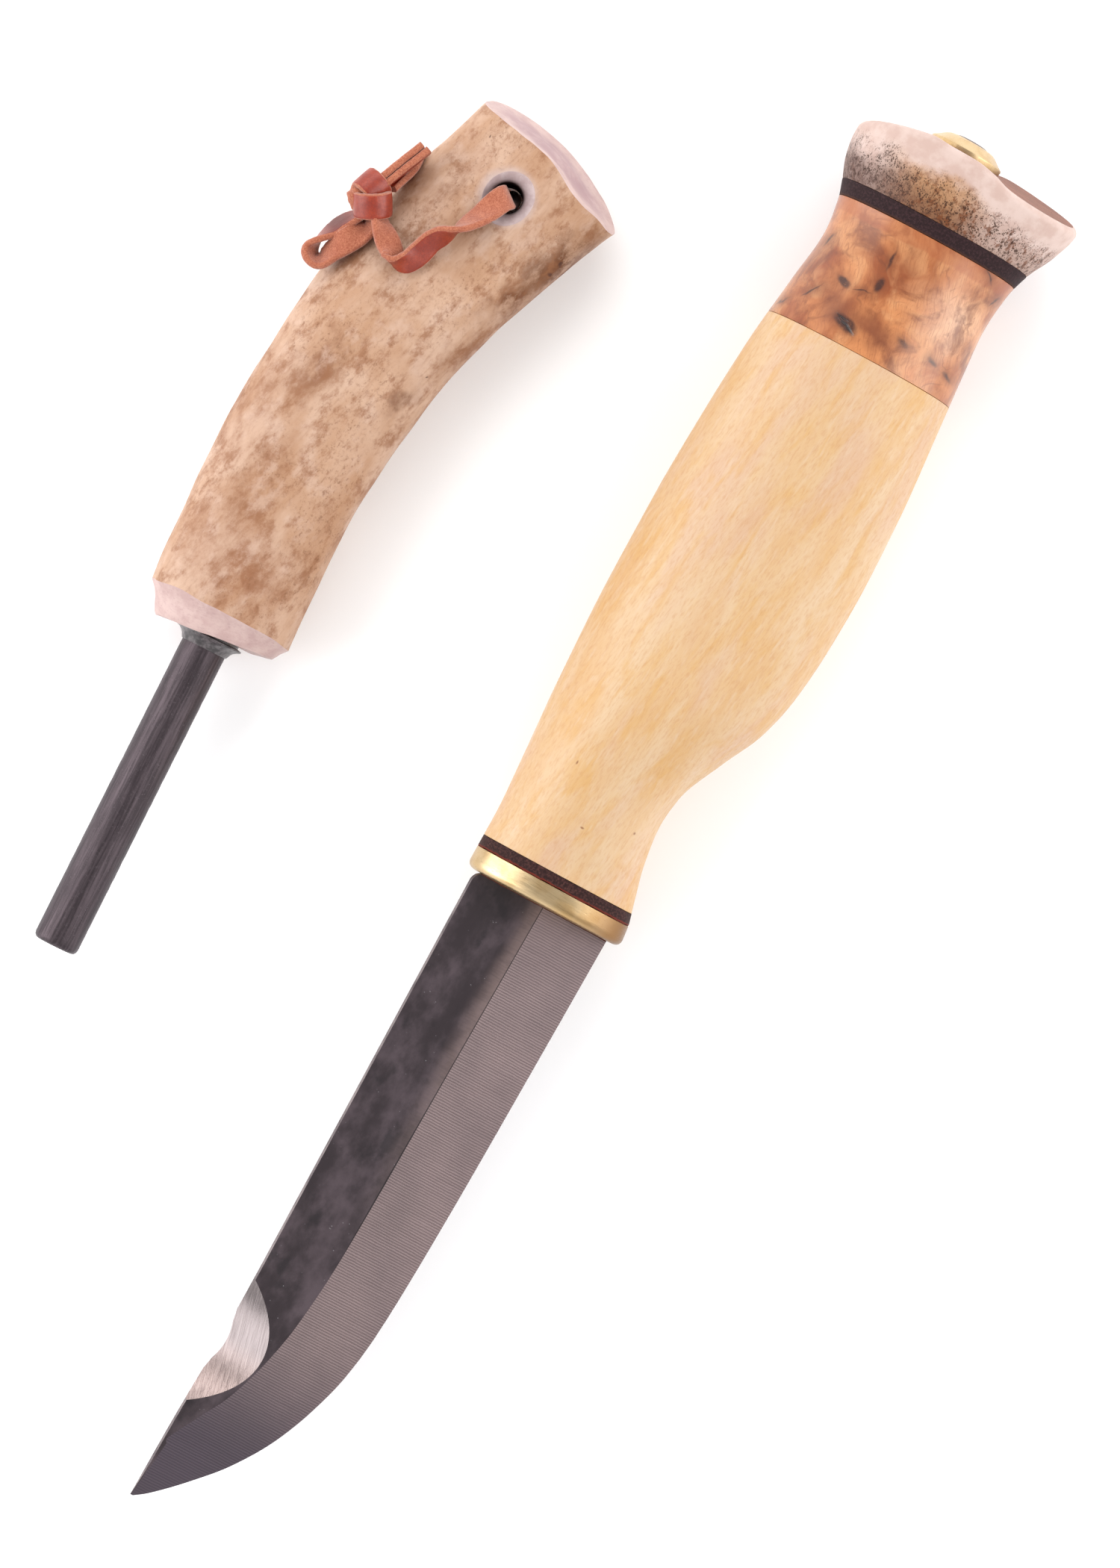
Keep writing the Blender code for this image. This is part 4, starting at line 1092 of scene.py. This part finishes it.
def make_antler(finishes):
    turns = [2 * pi * k / ROUND for k in range(ROUND)]
    top = []
    for turn in turns:
        y = 78
        for _ in range(30):
            point = antler_point(turn, y)
            y += 0.6 * (lace_end_face(point.x, point.z) - y)
        top.append(y)
    low = []
    for turn in turns:
        waver = 0.25 * noise.noise(Vector((cos(turn) * 2, sin(turn) * 2, 1)))
        low.append(3.3 - 0.3 * cos(turn) + 0.5 * abs(sin(turn)) ** 1.5 + waver)
    hole = oval(ROD_ACROSS - ROD_HOLE_RADIUS, ROD_ACROSS + ROD_HOLE_RADIUS, ROD_HOLE_RADIUS)
    rings = [at_y(hole, ROD_IN + 1), [Vector((x, rod_end_face(x), z)) for x, z in hole]]
    for share, inset in ((-0.1, 2.6), (0, 2), (0.1, 1.75), (0.3, 1.4), (0.5, 1.1), (0.75, 0.6)):
        ring = []
        for turn, skin_edge in zip(turns, low):
            point = antler_point(turn, 0, inset * (1 - 0.15 * cos(turn)))
            point.y = rod_end_face(point.x) * (1 - max(0, share)) + skin_edge * max(0, share)
            ring.append(point)
        rings.append(ring)
    skin_from = len(rings) - 1
    for share in steps_between(0, 1, 1 / 120):
        rings.append([antler_point(turn, a + (b - a) * share) for turn, a, b in zip(turns, low, top)])
    skin_to = len(rings) - 1
    rim = rings[-1]
    middle = sum(rim, Vector()) / ROUND
    for share in (0.03, 0.08, 0.16, 0.3, 0.45, 0.6, 0.75, 0.88):
        ring = []
        for point in rim:
            x, z = point.x + (middle.x - point.x) * share, point.z + (middle.z - point.z) * share
            groove = 0.25 * exp(-(((share - 0.45) / 0.22) ** 2))
            ring.append(Vector((x, lace_end_face(x, z) - groove, z)))
        rings.append(ring)
    mesh = skin(rings, finish=lambda row, _: int(not skin_from < row < skin_to))
    inside = ROD_HOLE_RADIUS + 0.5

    def outside(point):
        """1 on the antler's outside, and 0 in and close round the rod's bore."""
        return float(hypot(point.x - ROD_ACROSS, point.z) > inside or point.y > 2 * ROD_IN)

    for depth, size in ANTLER_BUMPS:
        roughen(mesh, depth, size, outside)
    grip = piece("grip_antler", mesh, [finishes["antler"], finishes["cut"]], FIRE)
    mouth = LACE_HOLE_MOUTH_RADIUS
    profile = [(5, 8.6), (mouth + 0.35, 7.3), (mouth, 6.95), (3.3, 6.75), (2.9, 6.5), (2.55, 6.2),
               (2.25, 5.8), (2.08, 5.4), (LACE_HOLE_RADIUS, 5)]
    profile += [(radius, -height) for radius, height in reversed(profile)]
    drill = []
    for radius, height in profile:
        around = [Vector((cos(turn), sin(turn), 0)) * radius for turn in turns]
        drill.append([Vector((*LACE_HOLE, height)) + point for point in around])
    cut(grip, skin(drill), finishes["bore"])
    on_body(grip, "fire_steel", "antler", "antler_grip")


def make_rod(finishes):
    ends = [(0.6, -ROD_OUT), (ROD_RADIUS - 0.7, -ROD_OUT), (ROD_RADIUS - 0.35, -ROD_OUT + 0.1)]
    ends += [(ROD_RADIUS - 0.1, -ROD_OUT + 0.4), (ROD_RADIUS, -ROD_OUT + 0.8)]
    ends += [(ROD_RADIUS, y) for y in steps_between(-ROD_OUT + 1.4, ROD_IN, 0.8)]
    rod = turned("rod_ferro", ends, finishes["ferro"], FIRE, ROD_ACROSS, looped=False, wobble=0.012)
    on_body(rod, "fire_steel", "ferrocerium", "ferro_rod")
    inside, outside = ROD_RADIUS + 0.06, ROD_HOLE_RADIUS - 0.02
    fillet = [(inside, -1.7), (inside + 0.1, -1.65), (3.45, -1.4), (3.6, -1.05), (3.85, -0.7), (4.25, -0.42),
              (4.75, -0.2), (4.8, 0), (outside, 0.15), (outside, 6), (inside, 6)]
    bead = turned("glue_fillet", fillet, finishes["glue"], FIRE, ROD_ACROSS, wobble=0.03)
    on_body(bead, "fire_steel", "epoxy", "rod_glue")


# ---- lace ----


def route(knots):
    """Points and facings along a smooth curve through a route's own points."""
    places, facings = [Vector(row[:3]) for row in knots], [Vector(row[3:]).normalized() for row in knots]

    def between(values, i, t):
        a, b = values[max(i - 1, 0)], values[i]
        c, d = values[i + 1], values[min(i + 2, len(values) - 1)]
        square, cube = 2 * a - 5 * b + 4 * c - d, 3 * b - a - 3 * c + d
        return b + 0.5 * ((c - a) * t + square * t**2 + cube * t**3)

    found = []
    for i in range(len(places) - 1):
        count = max(1, round((places[i + 1] - places[i]).length / LACE_STEP))
        for k in range(count + (i == len(places) - 2)):
            found.append((between(places, i, k / count), between(facings, i, k / count)))
    return found


def strap_outline():
    """(across, up) corners around the lace, with up its smooth side, and which of them start a stretch
    of that side."""
    half, deep, corner = LACE_WIDTH / 2, LACE_THICK / 2, 0.22
    count = 10
    crown = [(half - corner) * (1 - 2 * k / count) for k in range(count + 1)]
    smooth_side = [(x, deep - 0.05 * (x / half) ** 2) for x in crown]
    left = [(-half + 0.05, deep - corner), (-half, 0), (-half + 0.03, -deep + corner)]
    rough_side = [(-x, -deep) for x in crown]
    right = [(-x, y) for x, y in reversed(left)]
    return smooth_side + left + rough_side + right, count


def strap(name, knots, finishes):
    """The flat lace swept along a route, and the line that its middle follows."""
    line = route(knots)
    outline, smooth_corners = strap_outline()
    rings = []
    for i, (place, facing) in enumerate(line):
        along = (line[min(i + 1, len(line) - 1)][0] - line[max(i - 1, 0)][0]).normalized()
        across = along.cross(facing).normalized()
        up = across.cross(along).normalized()
        ring = []
        for x, y in outline:
            point = place + across * x + up * y
            share = 1 if abs(x) > LACE_WIDTH / 2 - 0.3 else 0.4
            ring.append(point + noise.noise_vector(point * 2.1) * LACE_RAGGED * share)
        rings.append(ring)
    mesh = skin(rings, finish=lambda _, corner: int(corner >= smooth_corners))
    made = piece(name, mesh, [finishes["leather"], finishes["suede"]], LACE_FRAME, sharp=60)
    return made, [LACE_FRAME @ (place * MM) for place, _ in line]


def band(name, middle, across, up, reach, rise, finishes):
    """A turn of the lace over the knot: an arch from one side of its middle to the other."""
    middle, across, up = Vector(middle), Vector(across).normalized(), Vector(up).normalized()
    knots = []
    for turn in range(-40, 221, 20):
        c, s = cos(radians(turn)), sin(radians(turn))
        away = across * c * rise + up * s * reach
        knots.append((*(middle + across * c * reach + up * s * rise), *away))
    return strap(name, knots, finishes)[0]


def make_knot(finishes):
    """Two turns of the lace, one over the other, round a core of crumpled rough side."""
    turns = [band(name, *turn, finishes) for name, turn in KNOT_TURNS.items()]
    rings = []
    for level in [k / 12 - 1 for k in range(1, 24)]:
        share = (1 - abs(level) ** 2.2) ** (1 / 2.2)
        outline = oval(-KNOT_SIZE.x * share, KNOT_SIZE.x * share, KNOT_SIZE.y * share, count=48)
        rings.append([KNOT_MIDDLE + Vector((x, y, KNOT_SIZE.z * level)) for x, y in outline])
    mesh = skin(rings)
    roughen(mesh, 0.45, (1.6, 0.7, 1.2))
    core = piece("lace_knot_core", mesh, [finishes["suede"]], LACE_FRAME)
    on_body(core, "fire_steel", "lace_leather", "lace_knot")
    for made in turns:
        on_body(made, "fire_steel", "lace_leather")
    return [*turns, core]


def make_lace(finishes):
    loop, line = strap("lace_loop_strap", [LOOP_FROM_KNOT, *LACE_LOOP, LOOP_INTO_KNOT], finishes)
    on_body(loop, "fire_steel", "lace_leather", "lace_loop")
    rest = make_knot(finishes)
    for name, knots, node in (
        ("lace_bow_strap", [BOW_FROM_KNOT, *LACE_BOW, BOW_INTO_KNOT], "lace_bow"),
        ("lace_tail_outer_strap", [TAIL_OUTER_FROM_KNOT, *LACE_TAIL_OUTER], "lace_tail_outer"),
        ("lace_tail_inner_strap", [TAIL_INNER_FROM_KNOT, *LACE_TAIL_INNER], "lace_tail_inner"),
    ):
        made, _ = strap(name, knots, finishes)
        on_body(made, "fire_steel", "lace_leather", node)
        rest.append(made)


# ---- camera, light and table ----


def make_camera():
    """Straight over the table, with the set in the middle of an upright picture."""
    turn = Matrix.Rotation(VIEW_TURN, 3, "Z")
    seen = []
    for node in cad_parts.values():
        seen += [turn.transposed() @ vertex.co for vertex in node.data.vertices]
    low = Vector([min(point[i] for point in seen) for i in range(3)])
    high = Vector([max(point[i] for point in seen) for i in range(3)])
    aim = turn @ ((low + high) / 2 + Vector((*PICTURE_OFFSET, 0)) * MM)
    camera = added("camera", bpy.data.cameras.new("camera"))
    camera.location = (aim.x, aim.y, KNIFE.translation.z + VIEW_HEIGHT)
    camera.rotation_euler = turn.to_euler()
    camera.data.sensor_fit = "VERTICAL"
    camera.data.sensor_height = 36
    camera.data.lens = camera.data.sensor_height * VIEW_HEIGHT / PICTURE_TALL
    bpy.context.scene.camera = camera


def softbox(name, place, size, power):
    """An area light over the table, aimed at the frame's middle."""
    light = bpy.data.lights.new(name, "AREA")
    light.shape = "RECTANGLE"
    light.size, light.size_y = size
    light.energy = power
    made = added(name, light)
    turn = Matrix.Rotation(VIEW_TURN, 3, "Z")
    made.location = turn @ Vector(place)
    made.rotation_euler = (turn @ Vector(place)).to_track_quat("Z", "Y").to_euler()


def make_light():
    """Softboxes round the table in a studio that is brighter round about than overhead."""
    for name, (place, size, power) in SOFTBOXES.items():
        softbox(name, place, size, power)
    world = bpy.data.worlds.new("studio")
    world.use_nodes = True
    nodes, links = world.node_tree.nodes, world.node_tree.links
    way = nodes.new("ShaderNodeSeparateXYZ")
    links.new(nodes.new("ShaderNodeTexCoord").outputs["Generated"], way.inputs[0])
    glow = nodes.new("ShaderNodeMapRange")
    for socket, value in STUDIO_GLOW.items():
        glow.inputs[socket].default_value = value
    links.new(way.outputs["Z"], glow.inputs["Value"])
    links.new(glow.outputs[0], nodes["Background"].inputs["Strength"])
    nodes["Background"].inputs["Color"].default_value = (0.99, 0.99, 1, 1)
    bpy.context.scene.world = world
    bpy.context.scene.view_settings.view_transform = "Standard"


def make_floor():
    mesh = bmesh.new()
    bmesh.ops.create_grid(mesh, x_segments=8, y_segments=8, size=FLOOR_HALF)
    floor = piece("floor", mesh, [pale_floor()], Matrix.Translation((0, 0, cad_box[0][2])))


def main():
    finishes = {
        "scale": blackened_steel(), "ground": ground_steel(), "bright": bright_steel(), "worn": worn_edge(),
        "brass": brass("brass_bolster"), "brass_burr": brass("brass_burr", 90),
        "fibre_front": fibre("fibre_front", (48, 27, 26), (90, 56, 52), BOLSTER_END, (118, 44, 30)),
        "fibre_rear": fibre("fibre_rear", (44, 27, 29), (70, 46, 49), BURL_END, (70, 44, 36)),
        "birch": birch(), "burl": burl(), "antler": antler_skin(), "cut": antler_cut(), "bore": hole_wall(),
        "pommel": pommel_antler(), "pommel_end": pommel_end(), "ferro": ferrocerium(), "glue": epoxy(),
        "leather": leather_smooth(), "suede": leather_suede(),
    }
    make_camera()
    noise.seed_set(LACE_SEED)
    make_lace(finishes)
    make_antler(finishes)
    make_rod(finishes)
    make_knife(finishes)
    make_floor()
    make_light()
    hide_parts("tang_glue")


main()
